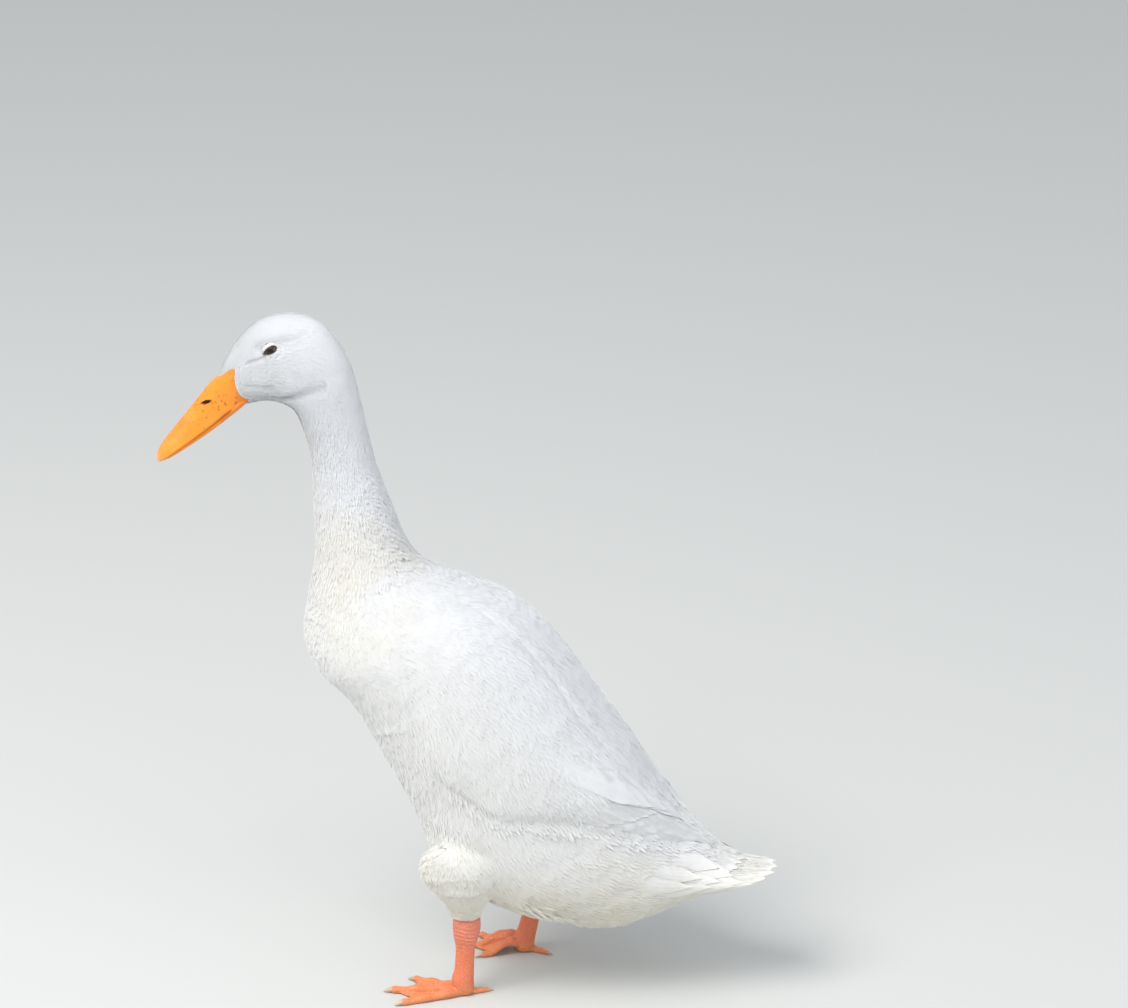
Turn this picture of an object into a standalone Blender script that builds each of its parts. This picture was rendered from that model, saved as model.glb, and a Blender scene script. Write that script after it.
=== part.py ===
"""An indian runner duck standing upright, life size, as closed solids.

The duck faces -Y, +Z is up and the midline of the body is the plane X = 0.
Sizes below are millimetres; meshes are written in metres.
"""
import math
import random
from collections import namedtuple

import bmesh
import bpy
from mathutils import Matrix, Vector

MM = 0.001
GAP = 0.3
CLEAR = 0.36

# The middle of the whole duck from bill to tail, which is moved over the origin.
MIDDLE_Y = -18.9

Station = namedtuple("Station", "name back belly half_width fullness")

# The trunk, from the root of the bill to the end of the tail core.
# back and belly are (y, z) where a section meets the midline.
TRUNK = [
    Station("bill_root", (-183.0, 422.0), (-165.0, 403.0), 11.0, 2.0),
    Station("forehead", (-172.0, 443.0), (-152.5, 406.0), 14.5, 2.1),
    Station("brow", (-155.5, 460.0), (-140.5, 405.0), 17.0, 2.2),
    Station("crown", (-134.0, 465.5), (-131.5, 399.5), 18.5, 2.2),
    Station("hind_crown", (-114.0, 459.0), (-126.5, 387.0), 19.0, 2.1),
    Station("nape", (-98.5, 439.0), (-123.0, 374.5), 18.5, 2.0),
    Station("upper_neck", (-91.0, 415.5), (-121.5, 362.0), 17.5, 2.0),
    Station("high_neck", (-85.0, 387.5), (-121.5, 349.0), 17.5, 2.0),
    Station("mid_neck", (-78.0, 357.5), (-121.0, 334.5), 19.0, 2.0),
    Station("low_neck", (-69.5, 332.5), (-120.0, 318.0), 22.0, 2.0),
    Station("neck_base", (-61.5, 312.0), (-120.5, 298.0), 26.0, 2.0),
    Station("shoulder", (-52.0, 299.0), (-125.5, 273.0), 33.0, 2.0),
    Station("upper_breast", (-34.5, 289.5), (-128.5, 245.0), 42.0, 2.1),
    Station("breast", (-15.5, 281.0), (-118.0, 222.0), 50.0, 2.2),
    Station("wing_root", (6.0, 271.5), (-99.5, 204.0), 55.0, 2.2),
    Station("upper_back", (24.5, 257.5), (-84.0, 179.0), 57.5, 2.2),
    Station("mid_back", (41.5, 239.0), (-70.5, 153.0), 59.0, 2.2),
    Station("saddle", (58.5, 216.0), (-56.5, 127.0), 60.0, 2.2),
    Station("lower_back", (75.5, 192.5), (-46.0, 101.0), 60.0, 2.2),
    Station("hip", (90.5, 170.5), (-29.0, 81.0), 59.0, 2.2),
    Station("rump", (103.0, 148.0), (-6.0, 62.0), 56.0, 2.2),
    Station("abdomen", (116.0, 130.0), (28.0, 50.5), 51.0, 2.1),
    Station("vent", (128.5, 115.5), (66.0, 44.0), 43.0, 2.0),
    Station("tail_root", (141.5, 105.0), (97.5, 51.0), 34.0, 2.0),
    Station("tail_base", (152.0, 96.0), (127.5, 65.5), 28.0, 2.0),
    Station("tail_mid", (164.5, 89.0), (153.0, 74.0), 24.0, 2.0),
    Station("tail_end", (180.5, 86.0), (178.0, 81.5), 17.0, 2.0),
]
STATION_NAMES = [station.name for station in TRUNK]
RING_POINTS = 24

HEAD_RINGS = 16
NECK_RINGS = 9
TORSO_RINGS = 22
TAIL_RINGS = 6
CLEARANCE_RINGS = 34

# The bill, in its own frame: forward from the trunk's first section, up along it.
BILL_SECTIONS = 11
BILL_UPPER_STEPS = 10
BILL_LOWER_STEPS = 8
# Sections crowd towards the tip by this power of a sine
BILL_CROWDING = 0.8
# distance from the root, height of the culmen, of the cutting edge and of the
# underside, half width
BILL_PROFILE = [
    (0.0, 14.2, -8.4, -13.2, 11.2),
    (12.0, 12.1, -8.2, -12.7, 10.5),
    (25.0, 10.0, -7.6, -11.8, 10.2),
    (40.0, 7.8, -6.2, -9.9, 11.2),
    (54.0, 5.8, -4.4, -7.6, 12.6),
    (62.0, 4.0, -3.4, -6.0, 11.8),
    (67.0, 1.8, -2.8, -4.6, 8.6),
    (69.5, -0.6, -2.6, -3.7, 4.0),
]
# The bill's cross section is a half round whose height follows a power of the sine,
# at the root, at the tip, and for the tray of the lower bill
ARCH_AT_ROOT = 0.9
ARCH_AT_TIP = 0.6
TRAY_ARCH = 0.6
# How far the lower bill stays within the upper one, in length and at its sides
TRAY_SHORTER = 2.5
TRAY_NARROWER = 1.0
MOUTH_DEPTH = 6.5
MOUTH_REACH = 2.0
MOUTH_HALF_WIDTH = 30.0
MOUTH_CORNER_GAP = 0.2
MOUTH_GAP = 0.7
NOSTRIL_FORWARD = 16.0
NOSTRIL_UP = 5.6
NOSTRIL_OUT = 0.86
NOSTRIL_SIZE = (3.0, 4.4, 2.0)
NOSTRIL_TURN = 43.5
NOSTRIL_SEGMENTS = 10
NOSTRIL_RINGS = 6

EYE_CENTRE = (11.0, -144.8, 444.2)
EYE_RADIUS = 6.6
EYE_LONG = 5.7
EYE_SHORT = 4.1
EYE_TILT = 30.0
EYE_SEGMENTS = 14
EYE_RINGS = 9
LID_THICKNESS = 1.3
LID_STEPS_AROUND = 16
LID_SIDES = 5

FOOT_SPREAD = 35.0
LEFT_HEEL_Y = -19.0
RIGHT_HEEL_Y = 16.0
# The right leg leans back by this much over the height of a shank
RIGHT_HOCK_LEAN = 9.0
SHANK_HEIGHT = 50.0
ANKLE_CUT_Z = 11.0

SHARP_ANGLE = 40.0
COLOURS = {
    "plumage": ((0.80, 0.79, 0.75), 0.85),
    "bill": ((0.90, 0.42, 0.07), 0.40),
    "leg": ((0.85, 0.30, 0.13), 0.50),
    "claw": ((0.62, 0.45, 0.30), 0.45),
    "eye": ((0.010, 0.008, 0.007), 0.08),
}


def lerp(first, last, share):
    """Return the value that lies the given share of the way along."""
    return first + (last - first) * share


def smooth_at(values, place):
    """Return a smooth curve through evenly spaced values, at a real index."""
    top = len(values) - 1
    place = min(max(place, 0.0), float(top))
    low = min(int(place), top - 1)
    share = place - low
    before = values[max(low - 1, 0)]
    first = values[low]
    last = values[low + 1]
    after = values[min(low + 2, top)]
    slope_first = (last - before) / 2.0
    slope_last = (after - first) / 2.0
    square = share * share
    cube = square * share
    return (first * (2 * cube - 3 * square + 1) + slope_first * (cube - 2 * square + share)
            + last * (3 * square - 2 * cube) + slope_last * (cube - square))


def table_at(rows, column, distance):
    """Return a column of a table whose first column is a distance."""
    index = 0
    while index < len(rows) - 2 and distance > rows[index + 1][0]:
        index += 1
    span = rows[index + 1][0] - rows[index][0]
    place = index + (distance - rows[index][0]) / span
    return smooth_at([row[column] for row in rows], place)


def place_of(name, beyond=0.0):
    """Return the place along the trunk of a named station."""
    return STATION_NAMES.index(name) + beyond


def trunk_section(place):
    """Return centre, back direction, half depth, half width and fullness."""
    back = Vector((0.0,
                   smooth_at([s.back[0] for s in TRUNK], place),
                   smooth_at([s.back[1] for s in TRUNK], place)))
    belly = Vector((0.0,
                    smooth_at([s.belly[0] for s in TRUNK], place),
                    smooth_at([s.belly[1] for s in TRUNK], place)))
    half_width = smooth_at([s.half_width for s in TRUNK], place)
    fullness = smooth_at([s.fullness for s in TRUNK], place)
    across = back - belly
    return (back + belly) / 2, across.normalized(), across.length / 2, half_width, fullness


def trunk_point(place, angle, grow=0.0):
    """Return a point of the trunk; angle 0 is the back, 90 the left side."""
    centre, back_way, half_depth, half_width, fullness = trunk_section(place)
    power = 2.0 / fullness
    turn = math.radians(angle)
    rise = math.copysign(abs(math.cos(turn)) ** power, math.cos(turn))
    side = math.copysign(abs(math.sin(turn)) ** power, math.sin(turn))
    return (centre + back_way * (half_depth + grow) * rise
            + Vector(((half_width + grow) * side, 0.0, 0.0)))


def trunk_forward(place):
    """Return the direction towards the bill, square to a section."""
    back_way = trunk_section(place)[1]
    return Vector((1.0, 0.0, 0.0)).cross(back_way)


def solid_from_rings(name, rings):
    """Join closed rings of equal length into one closed mesh object."""
    mesh_data = bmesh.new()
    rows = [[mesh_data.verts.new(point * MM) for point in ring] for ring in rings]
    count = len(rows[0])
    for row, following in zip(rows, rows[1:]):
        for index in range(count):
            beside = (index + 1) % count
            mesh_data.faces.new((row[index], row[beside], following[beside], following[index]))
    mesh_data.faces.new(rows[0])
    mesh_data.faces.new(rows[-1])
    bmesh.ops.triangulate(mesh_data, faces=mesh_data.faces[:])
    bmesh.ops.recalc_face_normals(mesh_data, faces=mesh_data.faces[:])
    return object_from_bmesh(name, mesh_data)


def object_from_bmesh(name, mesh_data):
    """Put a bmesh into a new object of the scene and free it."""
    mesh = bpy.data.meshes.new(name)
    mesh_data.to_mesh(mesh)
    mesh_data.free()
    obj = bpy.data.objects.new(name, mesh)
    bpy.context.scene.collection.objects.link(obj)
    return obj


def trunk_loft(name, first, last, ring_count, first_shift=0.0, last_shift=0.0, grow=0.0):
    """Loft the trunk between two places, with its end sections shifted forward."""
    rings = []
    for index in range(ring_count):
        place = lerp(first, last, index / (ring_count - 1))
        shift = 0.0
        if index == 0:
            shift = first_shift
        if index == ring_count - 1:
            shift = last_shift
        slide = trunk_forward(place) * shift
        ring = [trunk_point(place, 360.0 * step / RING_POINTS, grow) + slide
                for step in range(RING_POINTS)]
        rings.append(ring)
    return solid_from_rings(name, rings)


def keep_largest(obj):
    """Keep only the largest closed surface of an object."""
    mesh_data = bmesh.new()
    mesh_data.from_mesh(obj.data)
    bmesh.ops.triangulate(mesh_data, faces=mesh_data.faces[:])
    unseen = set(mesh_data.faces)
    groups = []
    while unseen:
        group = set()
        frontier = [unseen.pop()]
        while frontier:
            face = frontier.pop()
            group.add(face)
            for edge in face.edges:
                for other in edge.link_faces:
                    if other in unseen:
                        unseen.discard(other)
                        frontier.append(other)
        groups.append(group)
    largest = max(groups, key=lambda group: sum(face.calc_area() for face in group))
    scraps = [face for group in groups if group is not largest for face in group]
    bmesh.ops.delete(mesh_data, geom=scraps, context="FACES")
    loose = [vert for vert in mesh_data.verts if not vert.link_faces]
    bmesh.ops.delete(mesh_data, geom=loose, context="VERTS")
    mesh_data.to_mesh(obj.data)
    mesh_data.free()


def apply_modifiers(obj):
    """Replace an object's mesh by its evaluated one."""
    graph = bpy.context.evaluated_depsgraph_get()
    mesh = bpy.data.meshes.new_from_object(obj.evaluated_get(graph))
    obj.modifiers.clear()
    obj.data = mesh


def fuse(obj, pieces, solver="EXACT"):
    """Union an object with a list of closed pieces, which are then removed."""
    group = bpy.data.collections.new(obj.name + "_pieces")
    for piece in pieces:
        group.objects.link(piece)
    union = obj.modifiers.new("union", "BOOLEAN")
    union.operation = "UNION"
    union.solver = solver
    union.operand_type = "COLLECTION"
    union.collection = group
    apply_modifiers(obj)
    for piece in pieces:
        bpy.data.objects.remove(piece)
    bpy.data.collections.remove(group)
    keep_largest(obj)


def cut(obj, cutters, solver="EXACT"):
    """Cut closed cutters out of an object, one after another."""
    for cutter in cutters:
        difference = obj.modifiers.new("cut", "BOOLEAN")
        difference.operation = "DIFFERENCE"
        difference.solver = solver
        difference.object = cutter
        apply_modifiers(obj)
    keep_largest(obj)


def ellipsoid(name, centre, radii, turn=(0.0, 0.0, 0.0), segments=EYE_SEGMENTS,
              rings=EYE_RINGS):
    """Make a closed ellipsoid; turn is in degrees about X, Y and Z."""
    mesh_data = bmesh.new()
    bmesh.ops.create_uvsphere(mesh_data, u_segments=segments, v_segments=rings, radius=1.0)
    spin = Matrix.Rotation(math.radians(turn[2]), 4, "Z")
    spin = spin @ Matrix.Rotation(math.radians(turn[1]), 4, "Y")
    spin = spin @ Matrix.Rotation(math.radians(turn[0]), 4, "X")
    scale = Matrix.Diagonal((radii[0] * MM, radii[1] * MM, radii[2] * MM, 1.0))
    place = Matrix.Translation(Vector(centre) * MM)
    bmesh.ops.transform(mesh_data, matrix=place @ spin @ scale, verts=mesh_data.verts[:])
    return object_from_bmesh(name, mesh_data)


def lid_ring(side):
    """Make the almond of lids round one eye, a ring that hugs the eyeball."""
    centre = Vector((side * EYE_CENTRE[0], EYE_CENTRE[1], EYE_CENTRE[2]))
    tilt = math.radians(EYE_TILT)
    long_way = Vector((0.0, -math.cos(tilt), -math.sin(tilt)))
    short_way = Vector((0.0, -math.sin(tilt), math.cos(tilt)))
    out_way = Vector((side, 0.0, 0.0))
    mesh_data = bmesh.new()
    rows = []
    for index in range(LID_STEPS_AROUND):
        turn = math.tau * index / LID_STEPS_AROUND
        flat = long_way * EYE_LONG * math.cos(turn) + short_way * EYE_SHORT * math.sin(turn)
        depth = math.sqrt(max(EYE_RADIUS ** 2 - flat.length_squared, 0.0))
        middle = centre + flat + out_way * depth
        radial = (middle - centre).normalized()
        outward = flat.normalized()
        row = []
        for corner in range(LID_SIDES):
            roll = math.tau * corner / LID_SIDES
            row.append(mesh_data.verts.new((middle + radial * LID_THICKNESS * math.cos(roll)
                                            + outward * LID_THICKNESS * math.sin(roll)) * MM))
        rows.append(row)
    for index in range(LID_STEPS_AROUND):
        row = rows[index]
        following = rows[(index + 1) % LID_STEPS_AROUND]
        for corner in range(LID_SIDES):
            beside = (corner + 1) % LID_SIDES
            mesh_data.faces.new((row[corner], row[beside], following[beside], following[corner]))
    bmesh.ops.recalc_face_normals(mesh_data, faces=mesh_data.faces[:])
    return object_from_bmesh("lids", mesh_data)


def bill_point(across, forward_by, up_by):
    """Return a point given in the bill's frame."""
    root, upward = trunk_section(0.0)[:2]
    return (root + trunk_forward(0.0) * forward_by + upward * up_by
            + Vector((across, 0.0, 0.0)))


def bill_distance(index, length):
    """Return how far from the bill's root a numbered section stands."""
    quarter = 0.5 * math.pi * index / (BILL_SECTIONS - 1)
    return GAP + (length - GAP) * math.sin(quarter) ** BILL_CROWDING


def make_bill_upper():
    """Loft the upper bill: a ridge near the head that spreads to a flat spoon."""
    length = BILL_PROFILE[-1][0]
    rings = []
    for index in range(BILL_SECTIONS):
        along = bill_distance(index, length)
        top = table_at(BILL_PROFILE, 1, along)
        edge = table_at(BILL_PROFILE, 2, along)
        width = table_at(BILL_PROFILE, 4, along)
        arch = lerp(ARCH_AT_ROOT, ARCH_AT_TIP, along / length)
        ring = []
        for step in range(BILL_UPPER_STEPS + 1):
            turn = math.pi * step / BILL_UPPER_STEPS
            ring.append(bill_point(width * math.cos(turn), along,
                                   edge + (top - edge) * math.sin(turn) ** arch))
        rings.append(ring)
    bill = solid_from_rings("bill_upper", rings)
    nostrils = []
    for side in (1, -1):
        width = table_at(BILL_PROFILE, 4, NOSTRIL_FORWARD)
        place = bill_point(side * width * NOSTRIL_OUT, NOSTRIL_FORWARD, NOSTRIL_UP)
        nostrils.append(ellipsoid("nostril_cutter", place, NOSTRIL_SIZE,
                                  (NOSTRIL_TURN, 0.0, 0.0), NOSTRIL_SEGMENTS,
                                  NOSTRIL_RINGS))
    return bill, nostrils


def make_bill_lower():
    """Loft the lower bill, a thin tray that follows the cutting edge."""
    length = BILL_PROFILE[-1][0] - TRAY_SHORTER
    rings = []
    for index in range(BILL_SECTIONS):
        along = bill_distance(index, length)
        edge = table_at(BILL_PROFILE, 2, along) - GAP
        under = table_at(BILL_PROFILE, 3, along)
        width = table_at(BILL_PROFILE, 4, along + TRAY_SHORTER) - TRAY_NARROWER
        ring = []
        for step in range(BILL_LOWER_STEPS + 1):
            turn = math.pi * step / BILL_LOWER_STEPS
            ring.append(bill_point(width * math.cos(turn), along,
                                   edge - (edge - under) * math.sin(turn) ** TRAY_ARCH))
        rings.append(ring)
    return solid_from_rings("bill_lower", rings)


def make_mouth_cutter():
    """Make the thin wedge that carries the line of the mouth back to its corners."""
    level = BILL_PROFILE[0][2]
    rings = []
    for forward_by, gap in ((-MOUTH_DEPTH, MOUTH_CORNER_GAP), (MOUTH_REACH, MOUTH_GAP)):
        rings.append([bill_point(across * MOUTH_HALF_WIDTH, forward_by, level + rise * gap / 2)
                      for across, rise in ((-1, -1), (1, -1), (1, 1), (-1, 1))])
    return solid_from_rings("mouth_cutter", rings)


def make_head():
    """Make the head with lids, eye sockets and the corners of the mouth."""
    head = trunk_loft("head", place_of("bill_root"), place_of("upper_neck", 0.5), HEAD_RINGS,
                      0.0, GAP / 2)
    fuse(head, [lid_ring(1), lid_ring(-1)])
    hollows = []
    for side in (1, -1):
        centre = (side * EYE_CENTRE[0], EYE_CENTRE[1], EYE_CENTRE[2])
        hollows.append(ellipsoid("socket_cutter", centre, (EYE_RADIUS + GAP,) * 3))
    hollows.append(make_mouth_cutter())
    return head, hollows


# The folded wing on the trunk: place along it, angle of its upper edge, angle of
# its lower edge
WING_OUTLINE = [
    (12.3, 36.0, 54.0),
    (13.0, 27.0, 76.0),
    (14.0, 30.0, 93.0),
    (15.0, 31.0, 106.0),
    (16.3, 31.0, 114.0),
    (17.1, 32.0, 105.0),
    (18.0, 31.0, 94.0),
    (19.0, 27.0, 73.0),
    (20.0, 20.0, 58.0),
    (21.0, 13.0, 43.0),
    (22.0, 9.0, 29.0),
    (23.0, 7.0, 18.0),
    (23.4, 7.0, 13.0),
]
WING_THICKNESS = 6.5
WING_EDGE = 0.9
WING_SINK = 3.0
# Shares of the wing's length over which it swells at its front and thins to its tip
WING_FRONT = 0.16
WING_TIP = 0.5
WING_SEED = 41
WING_ROWS = 14
WING_COLUMNS = 8


def wing_point(place, across, side, lift):
    """Return a point over the wing, across it from its upper to its lower edge."""
    top = table_at(WING_OUTLINE, 1, place)
    low = table_at(WING_OUTLINE, 2, place)
    return trunk_point(place, side * lerp(top, low, across), lift)


def wing_height(place, across):
    """Return how far the folded wing stands off the body."""
    first = WING_OUTLINE[0][0]
    last = WING_OUTLINE[-1][0]
    share = (place - first) / (last - first)
    round_front = min(1.0, share / WING_FRONT) ** 0.5
    round_tip = min(1.0, (1.0 - share) / WING_TIP) ** 0.7
    round_across = max(0.0, math.sin(math.pi * across)) ** 0.4
    return max(WING_THICKNESS * round_front * round_tip * round_across, WING_EDGE)


VANE_EDGE = 0.55
WING_SHAFT = 1.3
WING_VANE_ROLL = 5.0
TAIL_SHAFT = 1.2
TAIL_VANE_ROLL = 6.0
# How far along a vane its sections stand, and their widths; short vanes have fewer
LONG_VANE = ((0.0, 0.66), (0.38, 1.0), (0.78, 0.92), (1.0, 0.36))
SHORT_VANE = ((0.0, 0.72), (0.68, 1.0), (1.0, 0.42))


def vane(points, normals, widths, ridge, roll):
    """Make one feather vane: a tapered plate with a raised shaft along a path."""
    mesh_data = bmesh.new()
    rows = []
    for index, (point, normal) in enumerate(zip(points, normals)):
        before = points[max(index - 1, 0)]
        after = points[min(index + 1, len(points) - 1)]
        along = (after - before).normalized()
        across = along.cross(normal).normalized()
        across = Matrix.Rotation(math.radians(roll), 3, along) @ across
        upward = across.cross(along).normalized()
        half = widths[index] / 2
        middle = VANE_EDGE if index == len(points) - 1 else ridge
        top = [point - across * half, point + upward * (middle - VANE_EDGE),
               point + across * half]
        under = [corner - upward * VANE_EDGE for corner in top]
        under[1] = point - upward * VANE_EDGE
        rows.append([mesh_data.verts.new(corner * MM) for corner in top + under])
    for row, following in zip(rows, rows[1:]):
        for first, second in ((0, 1), (1, 2), (3, 4), (4, 5), (0, 3), (2, 5)):
            mesh_data.faces.new((row[first], row[second], following[second]))
            mesh_data.faces.new((row[first], following[second], following[first]))
    for row in (rows[0], rows[-1]):
        mesh_data.faces.new((row[0], row[1], row[4], row[3]))
        mesh_data.faces.new((row[1], row[2], row[5], row[4]))
    bmesh.ops.triangulate(mesh_data, faces=mesh_data.faces[:])
    bmesh.ops.recalc_face_normals(mesh_data, faces=mesh_data.faces[:])
    return object_from_bmesh("vane", mesh_data)


# Tiers of wing feathers: outline, number, place of the roots, place of the tips, how
# the tips fall back from the upper to the lower feather, first and last place across
# the wing, width, sink of the root, rise of the tip
WING_TIERS = [
    (LONG_VANE, 4, 19.6, 23.2, -1.2, 0.30, 0.80, 12.0, 0.9, 0.9),
    (LONG_VANE, 7, 16.9, 19.9, -1.0, 0.44, 0.95, 12.5, 1.3, 1.6),
    (LONG_VANE, 4, 16.6, 21.6, -1.5, 0.06, 0.38, 15.5, 1.3, 2.0),
    (SHORT_VANE, 6, 15.1, 17.5, 0.2, 0.09, 0.92, 17.0, 1.5, 2.2),
    (SHORT_VANE, 5, 13.5, 15.7, 0.2, 0.12, 0.90, 18.0, 1.5, 2.0),
]


# How much the vanes differ: sideways, in the rise of their tips and in their reach
VANE_SLIDE = 0.012
VANE_UNEVENNESS = 0.15
TIP_UNEVENNESS = 0.06
# How far the roots of a tier fall back with its tips
ROOT_FALL = 0.3


def wing_vane(side, outline, across, root_place, tip_place, width, sink, rise, draw):
    """Lay one vane over the wing along its lie, with its root sunk in."""
    points = []
    normals = []
    slide = draw.uniform(-VANE_SLIDE, VANE_SLIDE)
    rise = rise * draw.uniform(1.0 - VANE_UNEVENNESS, 1.0 + VANE_UNEVENNESS)
    for share, _ in outline:
        place = lerp(root_place, tip_place, share)
        at = across + slide * share
        lift = wing_height(place, at) + lerp(-sink, rise, share)
        point = wing_point(place, at, side, lift)
        points.append(point)
        normals.append((wing_point(place, at, side, lift + 1.0) - point).normalized())
    widths = [width * part for _, part in outline]
    return vane(points, normals, widths, WING_SHAFT, side * WING_VANE_ROLL)


def make_wing(side, name):
    """Make one folded wing: a core that lies along the body, under tiers of vanes."""
    draw = random.Random(WING_SEED)
    rings = []
    for row in range(WING_ROWS):
        place = lerp(WING_OUTLINE[0][0], WING_OUTLINE[-1][0], row / (WING_ROWS - 1))
        steps = [column / (WING_COLUMNS - 1) for column in range(WING_COLUMNS)]
        outer = [wing_point(place, across, side, wing_height(place, across)) for across in steps]
        inner = [wing_point(place, across, side, -WING_SINK) for across in reversed(steps)]
        rings.append(outer + inner)
    wing = solid_from_rings(name, rings)
    vanes = []
    for outline, count, root, tip, fall, first, last, width, sink, rise in WING_TIERS:
        for index in range(count):
            share = index / (count - 1)
            across = lerp(first, last, share)
            root_place = root + ROOT_FALL * fall * share
            tip_place = tip + fall * share + draw.uniform(-TIP_UNEVENNESS, TIP_UNEVENNESS)
            vanes.append(wing_vane(side, outline, across, root_place, tip_place,
                                   width, sink, rise, draw))
    fuse(wing, vanes)
    return wing


# Tail feathers on one side: angle on the tail core, place of the root, place where
# the vane leaves the core, length past it, width
TAIL_FEATHERS = [
    (6.0, 24.0, 25.7, 9.5, 12.0),
    (24.0, 24.0, 25.6, 9.0, 12.0),
    (46.0, 23.9, 25.4, 8.0, 12.0),
    (68.0, 23.9, 25.1, 7.0, 12.0),
    (90.0, 23.8, 24.8, 6.5, 11.5),
    (112.0, 23.8, 24.5, 6.0, 11.5),
    (136.0, 23.75, 24.3, 6.0, 12.0),
    (162.0, 23.75, 24.2, 6.0, 13.0),
]
TAIL_VANE_SINK = 1.6
TAIL_VANE_RISE = 1.0
TAIL_COVERT_RISE = 2.2
# How far the cutter that keeps the tail clear of the torso stands out
TORSO_SIDE_GROWTH = 14.0
TORSO_SIDE_RINGS = 4
TAIL_COVERTS = [
    (14.0, 23.65, 24.3, 5.0, 13.0),
    (42.0, 23.65, 24.2, 5.0, 13.0),
    (70.0, 23.65, 24.0, 5.0, 12.0),
]


def tail_vane(side, outline, angle, root, end, beyond, width, rise):
    """Lay one vane along the tail core and past its end."""
    points = []
    normals = []
    on_core = outline[:-1]
    for share, _ in on_core:
        place = lerp(root, end, share / on_core[-1][0])
        lift = lerp(-TAIL_VANE_SINK, rise, share)
        point = trunk_point(place, side * angle, lift)
        points.append(point)
        normals.append((trunk_point(place, side * angle, lift + 1.0) - point).normalized())
    straight = (points[-1] - points[-2]).normalized()
    points.append(points[-1] + straight * beyond)
    normals.append(normals[-1])
    widths = [width * part for _, part in outline]
    return vane(points, normals, widths, TAIL_SHAFT, side * TAIL_VANE_ROLL)


def make_tail(torso_side):
    """Make the closed tail: a core under overlapping tail feathers and coverts."""
    tail = trunk_loft("tail", place_of("tail_root", 0.5), place_of("tail_end"),
                      TAIL_RINGS, -GAP / 2, 0.0)
    vanes = []
    for side in (1, -1):
        for angle, root, end, beyond, width in TAIL_FEATHERS:
            vanes.append(tail_vane(side, LONG_VANE, angle, root, end, beyond, width,
                                   TAIL_VANE_RISE))
        for angle, root, end, beyond, width in TAIL_COVERTS:
            vanes.append(tail_vane(side, SHORT_VANE, angle, root, end, beyond, width,
                                   TAIL_COVERT_RISE))
    fuse(tail, vanes)
    cut(tail, [torso_side])
    return tail


# Thigh sections from the top down: height, half length, half width, drift out
THIGH_SECTIONS = [
    (114.0, 11.0, 6.0, 12.0),
    (107.0, 24.0, 13.5, 10.5),
    (96.0, 29.0, 17.0, 8.0),
    (85.0, 25.0, 17.0, 5.5),
    (75.0, 18.0, 15.0, 3.0),
    (66.0, 12.5, 11.5, 1.0),
    (58.0, 9.5, 8.5, 0.0),
]
THIGH_POINTS = 18
# Below this height the thigh's clearance in the shank is lowered to close its gap
THIGH_HEM = 60.0
SHANK_POINTS = 14
# Shank sections from the top down: height, half length, half width, drift forward
SHANK_SECTIONS = [
    (66.0, 7.0, 6.0, 0.0),
    (57.0, 8.8, 7.2, 0.5),
    (50.0, 9.2, 7.6, 0.5),
    (43.0, 8.4, 6.6, 0.0),
    (36.0, 6.6, 5.2, -0.5),
    (26.0, 6.3, 4.8, -1.0),
    (18.0, 6.6, 5.2, -1.5),
    (ANKLE_CUT_Z, 7.4, 6.2, -2.5),
]


def leg_axis(side, height):
    """Return where a leg's axis stands at a height."""
    if side > 0:
        return Vector((FOOT_SPREAD, LEFT_HEEL_Y, height))
    lean = RIGHT_HOCK_LEAN * (height - ANKLE_CUT_Z) / SHANK_HEIGHT
    return Vector((-FOOT_SPREAD, RIGHT_HEEL_Y + lean, height))


def leg_loft(name, side, sections, points, drift_out):
    """Loft upright oval sections about the axis of a leg."""
    rings = []
    for height, half_length, half_width, drift in sections:
        centre = leg_axis(side, height)
        if drift_out:
            centre += Vector((side * drift, 0.0, 0.0))
        else:
            centre += Vector((0.0, drift, 0.0))
        ring = []
        for step in range(points):
            turn = math.tau * step / points
            ring.append(centre + Vector((half_width * math.cos(turn),
                                         half_length * math.sin(turn), 0.0)))
        rings.append(ring)
    return solid_from_rings(name, rings)


def grown_thigh_sections():
    """Return the thigh's sections, grown to leave a gap round its hem."""
    sections = []
    for height, half_length, half_width, drift in THIGH_SECTIONS:
        if height < THIGH_HEM:
            height -= CLEAR
        sections.append((height, half_length + CLEAR, half_width + CLEAR, drift))
    return sections


# Toes: name, bearing from straight ahead (outwards positive), length, root radius
TOES = [
    ("middle", 3.0, 50.0, 4.2),
    ("inner", -23.0, 40.0, 3.8),
    ("outer", 27.0, 46.0, 3.9),
]
HIND_TOE = ("hind", 200.0, 15.0, 2.6)
TOE_SIDES = 8
WEB_THICKNESS = 1.3
CLAW_LENGTH = 6.5
CLAW_SIDES = 6
# The right foot comes down on its toe ends: how high its toes arch, how far along
# them, how sharply, and their reach
RIGHT_TOE_ARCH = 6.0
TOE_ARCH_SPAN = 0.84
TOE_ARCH_POWER = 1.6
RIGHT_TOE_REACH = 0.84
TOE_BOW = 1.2
TOE_TAPER = 0.42
TOE_KNUCKLE = 0.10
TOE_HEIGHT = 1.75
TOE_SECTIONS = (0.0, 0.16, 0.33, 0.5, 0.67, 0.84, 1.0)
# The flat sole is the part of a toe's round section that would reach below the floor
TOE_ROUND = 0.54
WEB_STEPS = 5
WEB_FIRST = 0.06
WEB_LAST = 0.93
WEB_HOLLOW = 0.20
WEB_SAG = 0.25
WEB_HEIGHTS = (4.2, 1.9)
WEB_CLEAR = 0.15
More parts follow.
